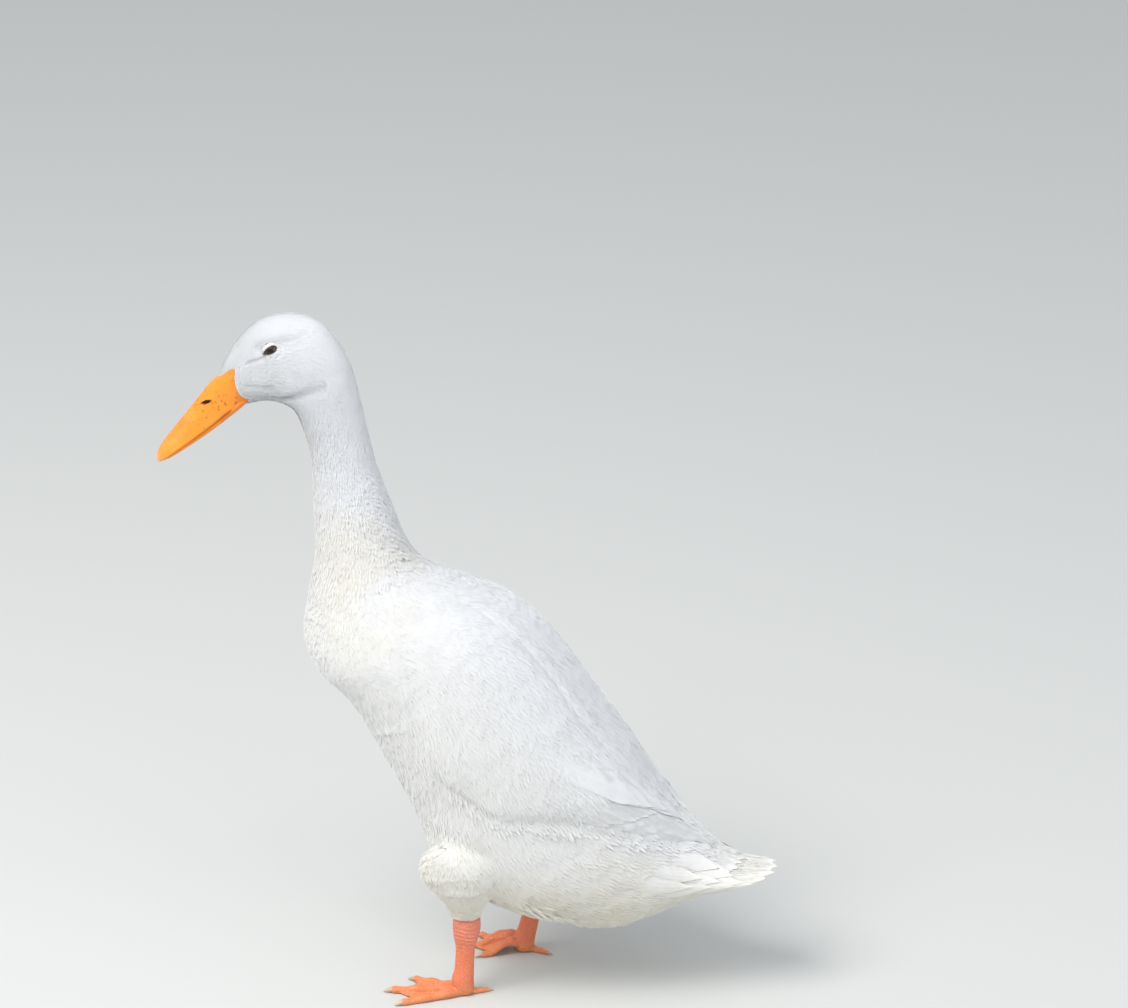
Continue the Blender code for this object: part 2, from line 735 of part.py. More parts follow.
# Sections of the joint under a shank: height, half length, half width, drift forward
BOSS_SECTIONS = (
    (0.0, 4.5, 4.5, 1.5),
    (3.0, 6.8, 6.2, 2.5),
    (7.0, 7.4, 6.6, 2.5),
    (ANKLE_CUT_Z - GAP, 7.2, 6.0, 2.5),
)
BOSS_POINTS = 12
# Claw sections: share of its length; and its half thickness as shares of the toe's end
CLAW_SHARES = (0.0, 0.35, 0.7, 1.0)
CLAW_THICKNESS = (0.72, 0.12)
CLAW_ROOT_RISE = 0.95
CLAW_TIP_RISE = 0.9
CLAW_CURVE = 1.5
CLAW_FLAT = 0.35


def toe_line(side, bearing, length, share):
    """Return a point along a toe, on the floor."""
    turn = math.radians(bearing)
    root = leg_axis(side, ANKLE_CUT_Z)
    root.z = 0.0
    ahead = Vector((side * math.sin(turn), -math.cos(turn), 0.0))
    bow = Vector((side * math.cos(turn), math.sin(turn), 0.0))
    reach = length
    rise = 0.0
    if side < 0 and bearing < 90.0:
        reach = length * RIGHT_TOE_REACH
        half_turn = math.pi * min(share / TOE_ARCH_SPAN, 1.0)
        rise = RIGHT_TOE_ARCH * max(0.0, math.sin(half_turn)) ** TOE_ARCH_POWER
    return (root + ahead * reach * share + Vector((0.0, 0.0, rise))
            + bow * math.sin(math.pi * share) * TOE_BOW * math.sin(turn))


def toe_radius(root_radius, share):
    """Return a toe's half thickness, with its knuckles."""
    knuckles = 1.0 + TOE_KNUCKLE * math.cos(6.0 * math.pi * share)
    return root_radius * (1.0 - TOE_TAPER * share) * knuckles


def make_toe(side, bearing, length, root_radius):
    """Loft one toe with a flat sole that lies on the floor."""
    rings = []
    turn = math.radians(bearing)
    across = Vector((side * math.cos(turn), math.sin(turn), 0.0))
    for share in TOE_SECTIONS:
        radius = toe_radius(root_radius, share)
        height = radius * TOE_HEIGHT
        centre = toe_line(side, bearing, length, share)
        ring = []
        for step in range(TOE_SIDES):
            roll = math.tau * (step + 0.5) / TOE_SIDES
            rise = max(0.0, height * (0.5 + TOE_ROUND * math.sin(roll)))
            ring.append(centre + across * radius * math.cos(roll) + Vector((0.0, 0.0, rise)))
        rings.append(ring)
    return solid_from_rings("toe", rings)


def make_web(side, first, second):
    """Make the web between two toes, thin and hollowed along its front edge."""
    rings = []
    for row in range(WEB_STEPS):
        share = lerp(WEB_FIRST, WEB_LAST, row / (WEB_STEPS - 1))
        upper = []
        lower = []
        for column in range(WEB_STEPS):
            across = column / (WEB_STEPS - 1)
            pull = 1.0 - WEB_HOLLOW * share * math.sin(math.pi * across)
            start = toe_line(side, first[1], first[2], share * pull)
            end = toe_line(side, second[1], second[2], share * pull)
            middle = start.lerp(end, across)
            sag = 1.0 - WEB_SAG * math.sin(math.pi * across)
            height = lerp(WEB_HEIGHTS[0], WEB_HEIGHTS[1], share) * sag
            under = max(height - WEB_THICKNESS, WEB_CLEAR)
            upper.append(middle + Vector((0.0, 0.0, height)))
            lower.append(middle + Vector((0.0, 0.0, under)))
        rings.append(upper + lower[::-1])
    return solid_from_rings("web", rings)


def make_ankle_boss(side):
    """Make the joint under the shank, from which the toes spread."""
    rings = []
    for height, half_length, half_width, drift in BOSS_SECTIONS:
        centre = leg_axis(side, ANKLE_CUT_Z)
        centre.z = height
        centre.y -= drift
        ring = []
        for step in range(BOSS_POINTS):
            turn = math.tau * step / BOSS_POINTS
            ring.append(centre + Vector((half_width * math.cos(turn),
                                         half_length * math.sin(turn), 0.0)))
        rings.append(ring)
    return solid_from_rings("boss", rings)


def make_foot(side, name):
    """Fuse the toes, webs and joint of one foot."""
    foot = make_ankle_boss(side)
    foot.name = name
    pieces = [make_toe(side, toe[1], toe[2], toe[3]) for toe in TOES]
    pieces.append(make_toe(side, HIND_TOE[1], HIND_TOE[2], HIND_TOE[3]))
    pieces.append(make_web(side, TOES[0], TOES[1]))
    pieces.append(make_web(side, TOES[0], TOES[2]))
    fuse(foot, pieces)
    return foot


def make_claw(side, toe, name):
    """Make a short curved claw just past the end of its toe."""
    label, bearing, length, root_radius = toe
    turn = math.radians(bearing)
    ahead = Vector((side * math.sin(turn), -math.cos(turn), 0.0))
    across = Vector((side * math.cos(turn), math.sin(turn), 0.0))
    end = toe_line(side, bearing, length, 1.0)
    end_radius = toe_radius(root_radius, 1.0)
    claw_length = CLAW_LENGTH * root_radius / TOES[0][3]
    rings = []
    for share in CLAW_SHARES:
        radius = end_radius * lerp(CLAW_THICKNESS[0], CLAW_THICKNESS[1], share)
        rise = lerp(end_radius * CLAW_ROOT_RISE, CLAW_TIP_RISE, share ** CLAW_CURVE)
        centre = end + ahead * (GAP + claw_length * share) + Vector((0.0, 0.0, rise))
        ring = []
        for step in range(CLAW_SIDES):
            roll = math.tau * step / CLAW_SIDES
            lift = max(radius * math.sin(roll), CLAW_FLAT - rise)
            ring.append(centre + across * radius * math.cos(roll) + Vector((0.0, 0.0, lift)))
        rings.append(ring)
    return solid_from_rings(name, rings)


def finish(obj, colour, collection):
    """Give an object its material and shading and put it with the parts."""
    material = bpy.data.materials.get(colour)
    if material is None:
        material = bpy.data.materials.new(colour)
        material.use_nodes = True
        shader = material.node_tree.nodes["Principled BSDF"]
        base, roughness = COLOURS[colour]
        shader.inputs["Base Color"].default_value = (*base, 1.0)
        shader.inputs["Roughness"].default_value = roughness
        shader.inputs["Metallic"].default_value = 0.0
        material.diffuse_color = (*base, 1.0)
    obj.data.transform(Matrix.Translation((0.0, -MIDDLE_Y * MM, 0.0)))
    obj.data.materials.clear()
    obj.data.materials.append(material)
    obj.data.shade_smooth()
    obj.data.set_sharp_from_angle(angle=math.radians(SHARP_ANGLE))
    for home in obj.users_collection:
        home.objects.unlink(obj)
    collection.objects.link(obj)


def clear_scene():
    """Remove whatever the scene holds."""
    for obj in list(bpy.data.objects):
        bpy.data.objects.remove(obj)


def main():
    """Model the duck, node by node."""
    clear_scene()
    scene = bpy.context.scene
    parts = bpy.data.collections.new("indian_runner_duck")
    cutters = bpy.data.collections.new("cutters")
    scene.collection.children.link(parts)
    scene.collection.children.link(cutters)

    head, hollows = make_head()
    cut(head, hollows)
    neck = trunk_loft("neck", place_of("upper_neck", 0.5), place_of("neck_base", 0.5),
                      NECK_RINGS, -GAP / 2, GAP / 2)
    torso = trunk_loft("torso", place_of("neck_base", 0.5), place_of("tail_root", 0.5),
                       TORSO_RINGS, -GAP / 2, GAP / 2)
    torso_side = trunk_loft("torso_side_clearance", place_of("abdomen"),
                            place_of("tail_root", 0.5), TORSO_SIDE_RINGS, 0.0, -GAP / 2,
                            TORSO_SIDE_GROWTH)
    tail = make_tail(torso_side)
    bill_upper, nostrils = make_bill_upper()
    cut(bill_upper, nostrils)
    bill_lower = make_bill_lower()

    clearance = trunk_loft("trunk_clearance", place_of("low_neck"), place_of("tail_end"),
                           CLEARANCE_RINGS, 0.0, -CLEAR, CLEAR)
    used_cutters = hollows + nostrils + [clearance, torso_side]

    plumage = [head, neck, torso, tail]
    legs = []
    claws = []
    eyes = []
    for side, word in ((1, "left"), (-1, "right")):
        centre = (side * EYE_CENTRE[0], EYE_CENTRE[1], EYE_CENTRE[2])
        eyes.append(ellipsoid("eye_" + word, centre, (EYE_RADIUS,) * 3))
        wing = make_wing(side, "wing_" + word)
        cut(wing, [clearance])
        thigh = leg_loft("thigh_" + word, side, THIGH_SECTIONS, THIGH_POINTS, True)
        thigh_clearance = leg_loft("thigh_clearance_" + word, side, grown_thigh_sections(),
                                   THIGH_POINTS, True)
        cut(thigh, [clearance])
        shank = leg_loft("shank_" + word, side, SHANK_SECTIONS, SHANK_POINTS, False)
        cut(shank, [clearance, thigh_clearance])
        used_cutters.append(thigh_clearance)
        foot = make_foot(side, "foot_" + word)
        plumage += [wing, thigh]
        legs += [shank, foot]
        for toe in TOES + [HIND_TOE]:
            claws.append(make_claw(side, toe, "claw_" + toe[0] + "_" + word))

    for obj in plumage:
        finish(obj, "plumage", parts)
    for obj in (bill_upper, bill_lower):
        finish(obj, "bill", parts)
    for obj in legs:
        finish(obj, "leg", parts)
    for obj in claws:
        finish(obj, "claw", parts)
    for obj in eyes:
        finish(obj, "eye", parts)
    for cutter in used_cutters:
        for home in cutter.users_collection:
            home.objects.unlink(cutter)
        cutters.objects.link(cutter)
        cutter.hide_render = True
        cutter.display_type = "WIRE"


main()
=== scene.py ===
"""Dresses a life-size standing runner duck: skin, feathers, bill, eyes and legs."""

import math

import bmesh
import bpy
import numpy as np
from bpy.props import FloatProperty, FloatVectorProperty, IntProperty, PointerProperty
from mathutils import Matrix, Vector
from mathutils.bvhtree import BVHTree


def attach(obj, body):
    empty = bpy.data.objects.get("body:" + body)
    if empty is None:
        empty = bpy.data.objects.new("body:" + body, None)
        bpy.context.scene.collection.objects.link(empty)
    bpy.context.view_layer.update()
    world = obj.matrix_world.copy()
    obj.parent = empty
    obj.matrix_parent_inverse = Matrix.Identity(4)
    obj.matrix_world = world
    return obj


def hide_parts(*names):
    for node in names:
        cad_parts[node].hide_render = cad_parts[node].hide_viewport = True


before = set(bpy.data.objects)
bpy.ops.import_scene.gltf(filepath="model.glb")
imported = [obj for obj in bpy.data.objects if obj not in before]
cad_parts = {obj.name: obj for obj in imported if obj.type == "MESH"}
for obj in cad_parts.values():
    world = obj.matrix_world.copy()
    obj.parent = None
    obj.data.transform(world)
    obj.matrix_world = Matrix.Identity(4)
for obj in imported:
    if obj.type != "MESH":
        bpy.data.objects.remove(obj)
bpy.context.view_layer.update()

bl_info = {
    "name": "Runner duck dressing",
    "version": (1, 0, 0),
    "blender": (4, 5, 0),
    "location": "3D View > Sidebar > Duck",
    "description": "Builds the feathers, skin, bill, eyes and legs of a standing runner duck",
    "category": "Object",
}

BODY = "root"
MM = 0.001
SIDES = ((1, "left"), (-1, "right"))
# Lengths of a feather of the face and of the back for which the coat's table is made
FACE_LENGTH = 2.4 * MM
BODY_LENGTH = 17.0 * MM
# The middle of the duck along its length, which stands over the origin
MIDDLE_Y = -18.9

# The trunk from the bill to the end of the tail core, in millimetres: where the back
# and the belly meet the midline (y, z, y, z), half width, fullness of the section
TRUNK = {
    "bill_root": (-183.0, 422.0, -165.0, 403.0, 11.0, 2.0),
    "forehead": (-172.0, 443.0, -152.5, 406.0, 14.5, 2.1),
    "brow": (-155.5, 460.0, -140.5, 405.0, 17.0, 2.2),
    "crown": (-134.0, 465.5, -131.5, 399.5, 18.5, 2.2),
    "hind_crown": (-114.0, 459.0, -126.5, 387.0, 19.0, 2.1),
    "nape": (-98.5, 439.0, -123.0, 374.5, 18.5, 2.0),
    "upper_neck": (-91.0, 415.5, -121.5, 362.0, 17.5, 2.0),
    "high_neck": (-85.0, 387.5, -121.5, 349.0, 17.5, 2.0),
    "mid_neck": (-78.0, 357.5, -121.0, 334.5, 19.0, 2.0),
    "low_neck": (-69.5, 332.5, -120.0, 318.0, 22.0, 2.0),
    "neck_base": (-61.5, 312.0, -120.5, 298.0, 26.0, 2.0),
    "shoulder": (-52.0, 299.0, -125.5, 273.0, 33.0, 2.0),
    "upper_breast": (-34.5, 289.5, -128.5, 245.0, 42.0, 2.1),
    "breast": (-15.5, 281.0, -118.0, 222.0, 50.0, 2.2),
    "wing_root": (6.0, 271.5, -99.5, 204.0, 55.0, 2.2),
    "upper_back": (24.5, 257.5, -84.0, 179.0, 57.5, 2.2),
    "mid_back": (41.5, 239.0, -70.5, 153.0, 59.0, 2.2),
    "saddle": (58.5, 216.0, -56.5, 127.0, 60.0, 2.2),
    "lower_back": (75.5, 192.5, -46.0, 101.0, 60.0, 2.2),
    "hip": (90.5, 170.5, -29.0, 81.0, 59.0, 2.2),
    "rump": (103.0, 148.0, -6.0, 62.0, 56.0, 2.2),
    "abdomen": (116.0, 130.0, 28.0, 50.5, 51.0, 2.1),
    "vent": (128.5, 115.5, 66.0, 44.0, 43.0, 2.0),
    "tail_root": (141.5, 105.0, 97.5, 51.0, 34.0, 2.0),
    "tail_base": (152.0, 96.0, 127.5, 65.5, 28.0, 2.0),
    "tail_mid": (164.5, 89.0, 153.0, 74.0, 24.0, 2.0),
    "tail_end": (180.5, 86.0, 178.0, 81.5, 17.0, 2.0),
}
TRUNK_NAMES = list(TRUNK)
TRUNK_ROWS = np.array(list(TRUNK.values()))
TRUNK_END = float(len(TRUNK) - 1)
# The last place at which the trunk itself is read; past it the surface runs straight on
TRUNK_STOP = TRUNK_END - 0.02

# Swellings and hollows of head and body, alike on both sides: place along the trunk,
# angle from the back, reach along, reach round, height in millimetres
SWELLS = {
    "cheek": (3.0, 108.0, 0.9, 30.0, 1.4),
    "brow_ridge": (2.3, 50.0, 0.6, 12.0, 0.9),
    "lore_hollow": (1.5, 84.0, 0.5, 18.0, -0.9),
    "eye_hollow": (2.4, 60.0, 0.40, 10.0, -0.5),
    "eye_roundness": (2.4, 78.0, 0.32, 15.0, 0.7),
    "temple": (3.7, 70.0, 0.6, 20.0, 0.6),
    "forehead_side": (1.2, 44.0, 0.5, 18.0, -0.8),
    "flank_fullness": (19.4, 118.0, 1.6, 26.0, 3.0),
    "breast_fullness": (12.8, 128.0, 1.6, 36.0, 1.2),
}
# Creases in the feathers of the head: width and depth in millimetres, then points
# (place, angle) along each; their depth also darkens the feathers over them as painted shade
CREASES = {
    "jaw": (1.9, 1.3, ((0.9, 150.0), (2.2, 141.0), (3.1, 121.0), (3.7, 106.0), (4.3, 90.0),
                       (4.7, 74.0))),
    "lore": (0.9, 0.8, ((1.3, 71.0), (1.7, 76.0), (2.05, 77.0))),
    "temple": (2.6, 0.9, ((1.9, 62.0), (2.8, 60.0), (3.3, 51.0), (3.6, 40.0))),
    "cheek": (1.6, 0.5, ((0.85, 103.0), (1.55, 118.0), (2.05, 116.0))),
}
# Millimetres for one unit of place and one degree on the head
HEAD_PLACE_MM = 20.0
HEAD_DEGREE_MM = 0.32

# The folded wing on the trunk: place, angle of its upper edge, of its lower edge
WING_OUTLINE = np.array([
    (12.3, 36.0, 54.0), (13.0, 27.0, 76.0), (14.0, 30.0, 93.0), (15.0, 31.0, 106.0),
    (16.3, 31.0, 114.0), (17.1, 32.0, 105.0), (18.0, 31.0, 94.0), (19.0, 27.0, 73.0),
    (20.0, 20.0, 58.0), (21.0, 13.0, 43.0), (22.0, 9.0, 29.0), (23.0, 7.0, 18.0),
    (23.4, 7.0, 13.0),
])
WING_FRONT, WING_TIP = WING_OUTLINE[[0, -1], 0]
WING_THICKNESS = 6.5

# Where the bare bill gives way to feathers on the head: angle from the forehead's
# midline, place along the trunk
FEATHER_LINE = np.array([
    (0.0, 0.02), (16.0, 0.06), (32.0, 0.24), (46.0, 0.50), (58.0, 0.80), (64.0, 0.80),
    (72.0, 0.68), (89.0, 0.52), (112.0, 0.43), (127.0, 0.48), (139.0, 0.58), (149.0, 0.40),
    (160.0, 0.12), (180.0, 0.06),
])

# The bill in its own frame: distance from its root, height of the ridge, of the cutting
# edge and of the underside, half width
BILL_PROFILE = np.array([
    (0.0, 14.2, -8.4, -13.2, 11.2), (12.0, 12.1, -8.2, -12.7, 10.5),
    (25.0, 10.0, -7.6, -11.8, 10.2), (40.0, 7.8, -6.2, -9.9, 11.2),
    (54.0, 5.8, -4.4, -7.6, 12.6), (62.0, 4.0, -3.4, -6.0, 11.8),
    (67.0, 1.8, -2.8, -4.6, 8.6), (69.5, -0.6, -2.6, -3.7, 4.0),
])
NOSTRIL_FORWARD = 16.0
NOSTRIL_UP = 5.6
NOSTRIL_LONG = 3.8
NOSTRIL_HIGH = 1.35
NOSTRIL_SLOPE = 0.32

EYE_CENTRE = np.array((11.0, -144.8 - MIDDLE_Y, 444.2))
EYE_RADIUS = 6.6
EYE_LONG = 4.7
EYE_SHORT = 2.1
EYE_CORNER = 0.42
EYE_TILT = 30.0
EYE_LEAN = 11.0

FOOT_SPREAD = 35.0
HEEL_Y = {1: -19.0 - MIDDLE_Y, -1: 16.0 - MIDDLE_Y}
RIGHT_HOCK_LEAN = 9.0
ANKLE_Z = 11.0
# Thigh and shank sections from the top down: height, half length, half width, drift
THIGH = np.array([
    (114.0, 11.0, 6.0, 12.0), (107.0, 24.0, 13.5, 10.5), (96.0, 29.0, 17.0, 8.0),
    (85.0, 25.0, 17.0, 5.5), (75.0, 18.0, 15.0, 3.0), (66.0, 12.5, 11.5, 1.0),
    (58.0, 9.5, 8.5, 0.0),
])
SHANK = np.array([
    (66.0, 7.0, 6.0, 0.0), (57.0, 8.8, 7.2, 0.5), (50.0, 9.2, 7.6, 0.5),
    (43.0, 8.4, 6.6, 0.0), (36.0, 6.6, 5.2, -0.5), (26.0, 6.3, 4.8, -1.0),
    (18.0, 6.6, 5.2, -1.5), (11.0, 7.4, 6.2, -2.5), (5.0, 7.2, 6.2, -2.2),
    (1.0, 5.0, 4.8, -1.6),
])
# Toes: bearing from straight ahead, outwards positive, length, root radius
TOES = {
    "middle": (3.0, 50.0, 4.2),
    "inner": (-23.0, 40.0, 3.8),
    "outer": (27.0, 46.0, 3.9),
    "hind": (200.0, 15.0, 2.6),
}
CLAW_LENGTH = 6.5
RIGHT_TOE_ARCH = 6.0
RIGHT_TOE_REACH = 0.84
GAP = 0.3
# How deep the skin lies under the outer surface of the coat on the body, and how far
# the flanks bridge over to the thighs
SKIN_DEPTH = 2.0
BRIDGE = 24.0
# First and last place of that bridge, and how deep it lies everywhere, on the back and
# at its two ends, in millimetres
BRIDGE_FIRST = 14.0
BRIDGE_LAST = 23.6
BRIDGE_DEPTH = 1.0
BRIDGE_BACK_DEPTH = 3.0
BRIDGE_END_DEPTH = 13.0
# Grain in metres at which skin, bridge and legs are fused
SKIN_VOXEL = 0.0017
BRIDGE_VOXEL = 0.0032
LEG_VOXEL = 0.0006
# Fewest millimetres that one degree round a surface may count for
LEAST_RATE = 0.02
# Points round an eye's lids
LID_POINTS = 72
# Where the camera aims, in metres to the right of and above the duck's foot point
AIM_RIGHT = 0.0435
AIM_UP = 0.31824
SENSOR_WIDTH = 36.0

# Colours that are mixed into the finishes
TINTS = {
    "grey_cloud": (0.60, 0.60, 0.63),
    "feather_shadow": (0.36, 0.36, 0.38),
    "vane_shadow": (0.40, 0.41, 0.44),
    "shaft": (0.83, 0.80, 0.70),
    "down": (0.60, 0.55, 0.50),
    "bill_light": (0.88, 0.32, 0.045),
    "bill_base": (0.80, 0.24, 0.015),
    "bill_rim": (0.62, 0.20, 0.06),
    "bill_patch": (0.60, 0.135, 0.008),
    "bill_fleck": (0.20, 0.06, 0.01),
    # Painted shade in the nostril pits and on the palate inside the bill
    "painted_nostril_shade": (0.03, 0.012, 0.006),
    "web": (0.80, 0.33, 0.11),
    "leg_patch": (0.62, 0.17, 0.07),
    "scale_edge": (0.50, 0.15, 0.08),
    "claw_light": (0.62, 0.44, 0.30),
    "iris_fibre": (0.06, 0.035, 0.025),
    "pupil": (0.002, 0.002, 0.002),
    "eye_edge": (0.004, 0.003, 0.003),
    "lid": (0.60, 0.61, 0.63),
    "lid_cloud": (0.54, 0.54, 0.56),
    "lid_rim": (0.07, 0.045, 0.035),
}
# What the finishes of all feathers share
FEATHER_SOFTNESS = {
    "Sheen_Roughness": 0.5,
    "Subsurface_Weight": 0.35,
    "Subsurface_Radius": (1.0, 0.95, 0.85),
    "Subsurface_Scale": 0.003,
}


def colour_setting(name, description, value):
    """Return the setting of one colour."""
    return FloatVectorProperty(name=name, description=description, subtype="COLOR",
                               default=value, min=0.0, max=1.0)


class PlumageSettings(bpy.types.PropertyGroup):
    """Colours and sizes of the feathers."""

    white: colour_setting("White", "Colour of clean feathers", (0.87, 0.87, 0.85))
    # The cool white is painted sky light: a blue-grey tint laid over the upper parts, not a colour of
    # their feathers
    shade: colour_setting("Cool white", "Colour of the feathers of the back",
                          (0.79, 0.81, 0.85))
    cream: colour_setting("Cream", "Stain on belly, flanks and base of the neck",
                          (0.83, 0.76, 0.56))
    face_length: FloatProperty(
        name="Face feather", description="Length of a feather at the bill", unit="LENGTH",
        default=FACE_LENGTH)
    body_length: FloatProperty(
        name="Body feather", description="Length of a feather of the back", unit="LENGTH",
        default=BODY_LENGTH)
    seed: IntProperty(name="Seed", description="Start of all random draws", default=7)


class BareSettings(bpy.types.PropertyGroup):
    """Colours of bill, legs, claws and eyes."""

    bill: colour_setting("Bill", "Colour of the bill", (0.84, 0.255, 0.020))
    nail: colour_setting("Nail", "Colour of the tip of the bill", (0.90, 0.42, 0.18))
    leg: colour_setting("Leg", "Colour of shanks and toes", (0.78, 0.22, 0.11))
    ankle: colour_setting("Ankle", "Colour of the ankles", (0.80, 0.27, 0.20))
    claw: colour_setting("Claw", "Colour of the claws", (0.42, 0.27, 0.17))
    iris: colour_setting("Iris", "Colour of the iris", (0.018, 0.012, 0.010))


class StageSettings(bpy.types.PropertyGroup):
    """Camera, floor and light."""

    azimuth: FloatProperty(
        name="Azimuth", description="Bearing of the camera round the duck", subtype="ANGLE",
        default=math.radians(95.0))
    elevation: FloatProperty(
        name="Elevation", description="Height of the camera above level", subtype="ANGLE",
        default=math.radians(20.0))
    distance: FloatProperty(
        name="Distance", description="From the camera to the duck", unit="LENGTH", default=3.0)
    lens: FloatProperty(
        name="Lens", description="Focal length in millimetres", default=140.8)
    floor: colour_setting("Floor", "Colour of the floor", (0.55, 0.56, 0.55))
    sky: FloatProperty(
        name="Sky", description="Strength of the light from all round", default=0.75)
    key: FloatProperty(
        name="Key", description="Power of the large soft light in watts", default=95.0)


def smooth_rows(rows, place):
    """Read a smooth curve through the rows of a table at real row numbers."""
    top = len(rows) - 1
    place = np.clip(place, 0.0, top)
    low = np.minimum(place.astype(int), top - 1)
    share = (place - low)[..., None]
    before = rows[np.maximum(low - 1, 0)]
    first = rows[low]
    last = rows[low + 1]
    after = rows[np.minimum(low + 2, top)]
    square = share ** 2
    cube = share ** 3
    return (first * (2 * cube - 3 * square + 1) + (last - before) / 2 * (cube - 2 * square + share)
            + last * (3 * square - 2 * cube) + (after - first) / 2 * (cube - square))


def read_table(rows, distance):
    """Read a smooth curve through a table whose first column rises."""
    place = np.interp(distance, rows[:, 0], np.arange(len(rows)))
    return smooth_rows(rows[:, 1:], place)


def smooth_step(low, high, value):
    """Return 0 at low, 1 at high and a smooth rise between."""
    share = np.clip((value - low) / (high - low), 0.0, 1.0)
    return share * share * (3.0 - 2.0 * share)


def band(rise_from, rise_to, fall_from, fall_to, value):
    """Return 1 over a band of values and a smooth fall to 0 on both sides of it."""
    return smooth_step(rise_from, rise_to, value) * (1.0 - smooth_step(fall_from, fall_to, value))


def ripple(first, second, phase):
    """Return soft irregular waves between -1 and 1 over two coordinates."""
    return (np.sin(first + 1.7 * np.sin(second * 0.73 + phase))
            + np.sin(second * 1.31 + 1.3 * np.sin(first * 0.61 + 2.1 * phase + 1.0))
            + np.sin(0.7 * (first + second) + phase)) / 3.0


def from_back(angle):
    """Return how far an angle lies from the back, in degrees."""
    return np.abs((angle + 180.0) % 360.0 - 180.0)


def wing_edges(place):
    """Return the angles of the upper and the lower edge of the folded wing."""
    return np.moveaxis(read_table(WING_OUTLINE, place), -1, 0)


def wing_form(place, angle):
    """Return how far the folded wing stands off the trunk at an angle from the back."""
    top, low = wing_edges(place)
    across = (angle - top) / (low - top)
    share = (place - WING_FRONT) / (WING_TIP - WING_FRONT)
    inside = (across > 0.0) & (across < 1.0) & (share > 0.0) & (share < 1.0)
    front = np.clip(share / 0.16, 0.0, 1.0) ** 0.5
    tip = np.clip((1.0 - share) / 0.5, 0.0, 1.0) ** 0.7
    power = np.where(across > 0.5, 1.9 - 1.5 * smooth_step(0.10, 0.36, share),
                     0.9 - 0.5 * smooth_step(0.05, 0.25, share))
    round_across = np.sin(np.pi * np.clip(across, 0.0, 1.0)) ** power
    least = 0.5 * smooth_step(0.15, 0.35, share)
    return np.where(inside, np.maximum(WING_THICKNESS * front * tip * round_across, least), 0.0)


def crease_depth(place, away):
    """Return the depth of the creases of the head, in millimetres."""
    depth = np.zeros_like(place)
    head = place < 5.6
    for width, deep, points in CREASES.values():
        line = np.array(points) * (HEAD_PLACE_MM, HEAD_DEGREE_MM)
        at = np.stack([place[head] * HEAD_PLACE_MM, away[head] * HEAD_DEGREE_MM], -1)
        nearest = np.full(len(at), 1000.0)
        for first, last in zip(line, line[1:]):
            way = last - first
            share = np.clip((at - first) @ way / (way @ way), 0.0, 1.0)
            nearest = np.minimum(nearest, np.linalg.norm(
                at - first - share[:, None] * way, axis=-1))
        depth[head] = np.maximum(depth[head], deep * np.exp(-(nearest / width) ** 2))
    return depth


def back_ridge(place, away):
    """Return the height of the fold of back feathers that lies along a wing's upper edge."""
    across = band(-0.5, 2.5, 5.0, 15.0, wing_edges(place)[0] - away)
    return 1.9 * across * smooth_step(12.9, 14.4, place) * (1.0 - smooth_step(19.6, 21.6, place))


def body_form(place, angle):
    """Return the height of wing, swellings and hollows over the plain trunk."""
    away = from_back(angle)
    place, away = np.broadcast_arrays(place, away)
    height = wing_form(place, away) + back_ridge(place, away) - crease_depth(place, away)
    for at, round_at, reach, round_reach, rise in SWELLS.values():
        height = height + rise * np.exp(-((place - at) / reach) ** 2
                                        - ((away - round_at) / round_reach) ** 2)
    return height


def trunk(place, angle, grow):
    """Return points of the plain trunk, grown by a distance, in metres."""
    row = smooth_rows(TRUNK_ROWS, place)
    back = row[..., 0:2]
    belly = row[..., 2:4]
    across = back - belly
    depth = np.linalg.norm(across, axis=-1)
    turn = np.radians(angle)
    power = 2.0 / row[..., 5]
    rise = np.sign(np.cos(turn)) * np.abs(np.cos(turn)) ** power
    side = np.sign(np.sin(turn)) * np.abs(np.sin(turn)) ** power
    flat = (back + belly) / 2 + across / depth[..., None] * ((depth / 2 + grow) * rise)[..., None]
    return np.stack([(row[..., 4] + grow) * side, flat[..., 0] - MIDDLE_Y, flat[..., 1]],
                    axis=-1) * MM


def body(place, angle, lift):
    """Return points over the body with its wings; past the tail they run straight on."""
    inside = np.minimum(place, TRUNK_STOP)
    points = trunk(inside, angle, body_form(inside, angle) + lift)
    beyond = (place - inside)[..., None]
    before = trunk(inside - 0.05, angle, body_form(inside, angle) + lift)
    return points + (points - before) * beyond / 0.05


def leg_axis(side, height):
    """Return the middle of a leg at a height."""
    lean = 0.0
    if side < 0:
        lean = RIGHT_HOCK_LEAN / 50.0
    y = HEEL_Y[side] + lean * (height - ANKLE_Z)
    return np.stack([np.full_like(height, side * FOOT_SPREAD), y, height], axis=-1)


def thigh(side):
    """Return the function that gives points over one thigh."""
    def surface(place, angle, lift):
        row = smooth_rows(THIGH, place)
        turn = np.radians(angle)
        centre = leg_axis(side, row[..., 0])
        centre[..., 0] += side * row[..., 3]
        out = np.stack([(row[..., 2] + lift) * np.cos(turn),
                        (row[..., 1] + lift) * np.sin(turn), np.zeros_like(turn)], axis=-1)
        return (centre + out) * MM
    return surface


def ring_grid(first, last, rows, columns):
    """Return the places and angles of closed rings from a first to a last place."""
    return np.meshgrid(np.linspace(first, last, rows),
                       np.linspace(0.0, 360.0, columns, endpoint=False), indexing="ij")


def grid_faces(rows, columns, closed):
    """Return the triangles of a grid of points, wrapped round if it is closed."""
    steps = columns if closed else columns - 1
    row, column = np.meshgrid(np.arange(rows - 1), np.arange(steps), indexing="ij")
    beside = (column + 1) % columns
    first = row * columns + column
    second = row * columns + beside
    third = (row + 1) * columns + beside
    fourth = (row + 1) * columns + column
    return np.concatenate([np.stack([first, second, third], -1).reshape(-1, 3),
                           np.stack([first, third, fourth], -1).reshape(-1, 3)])


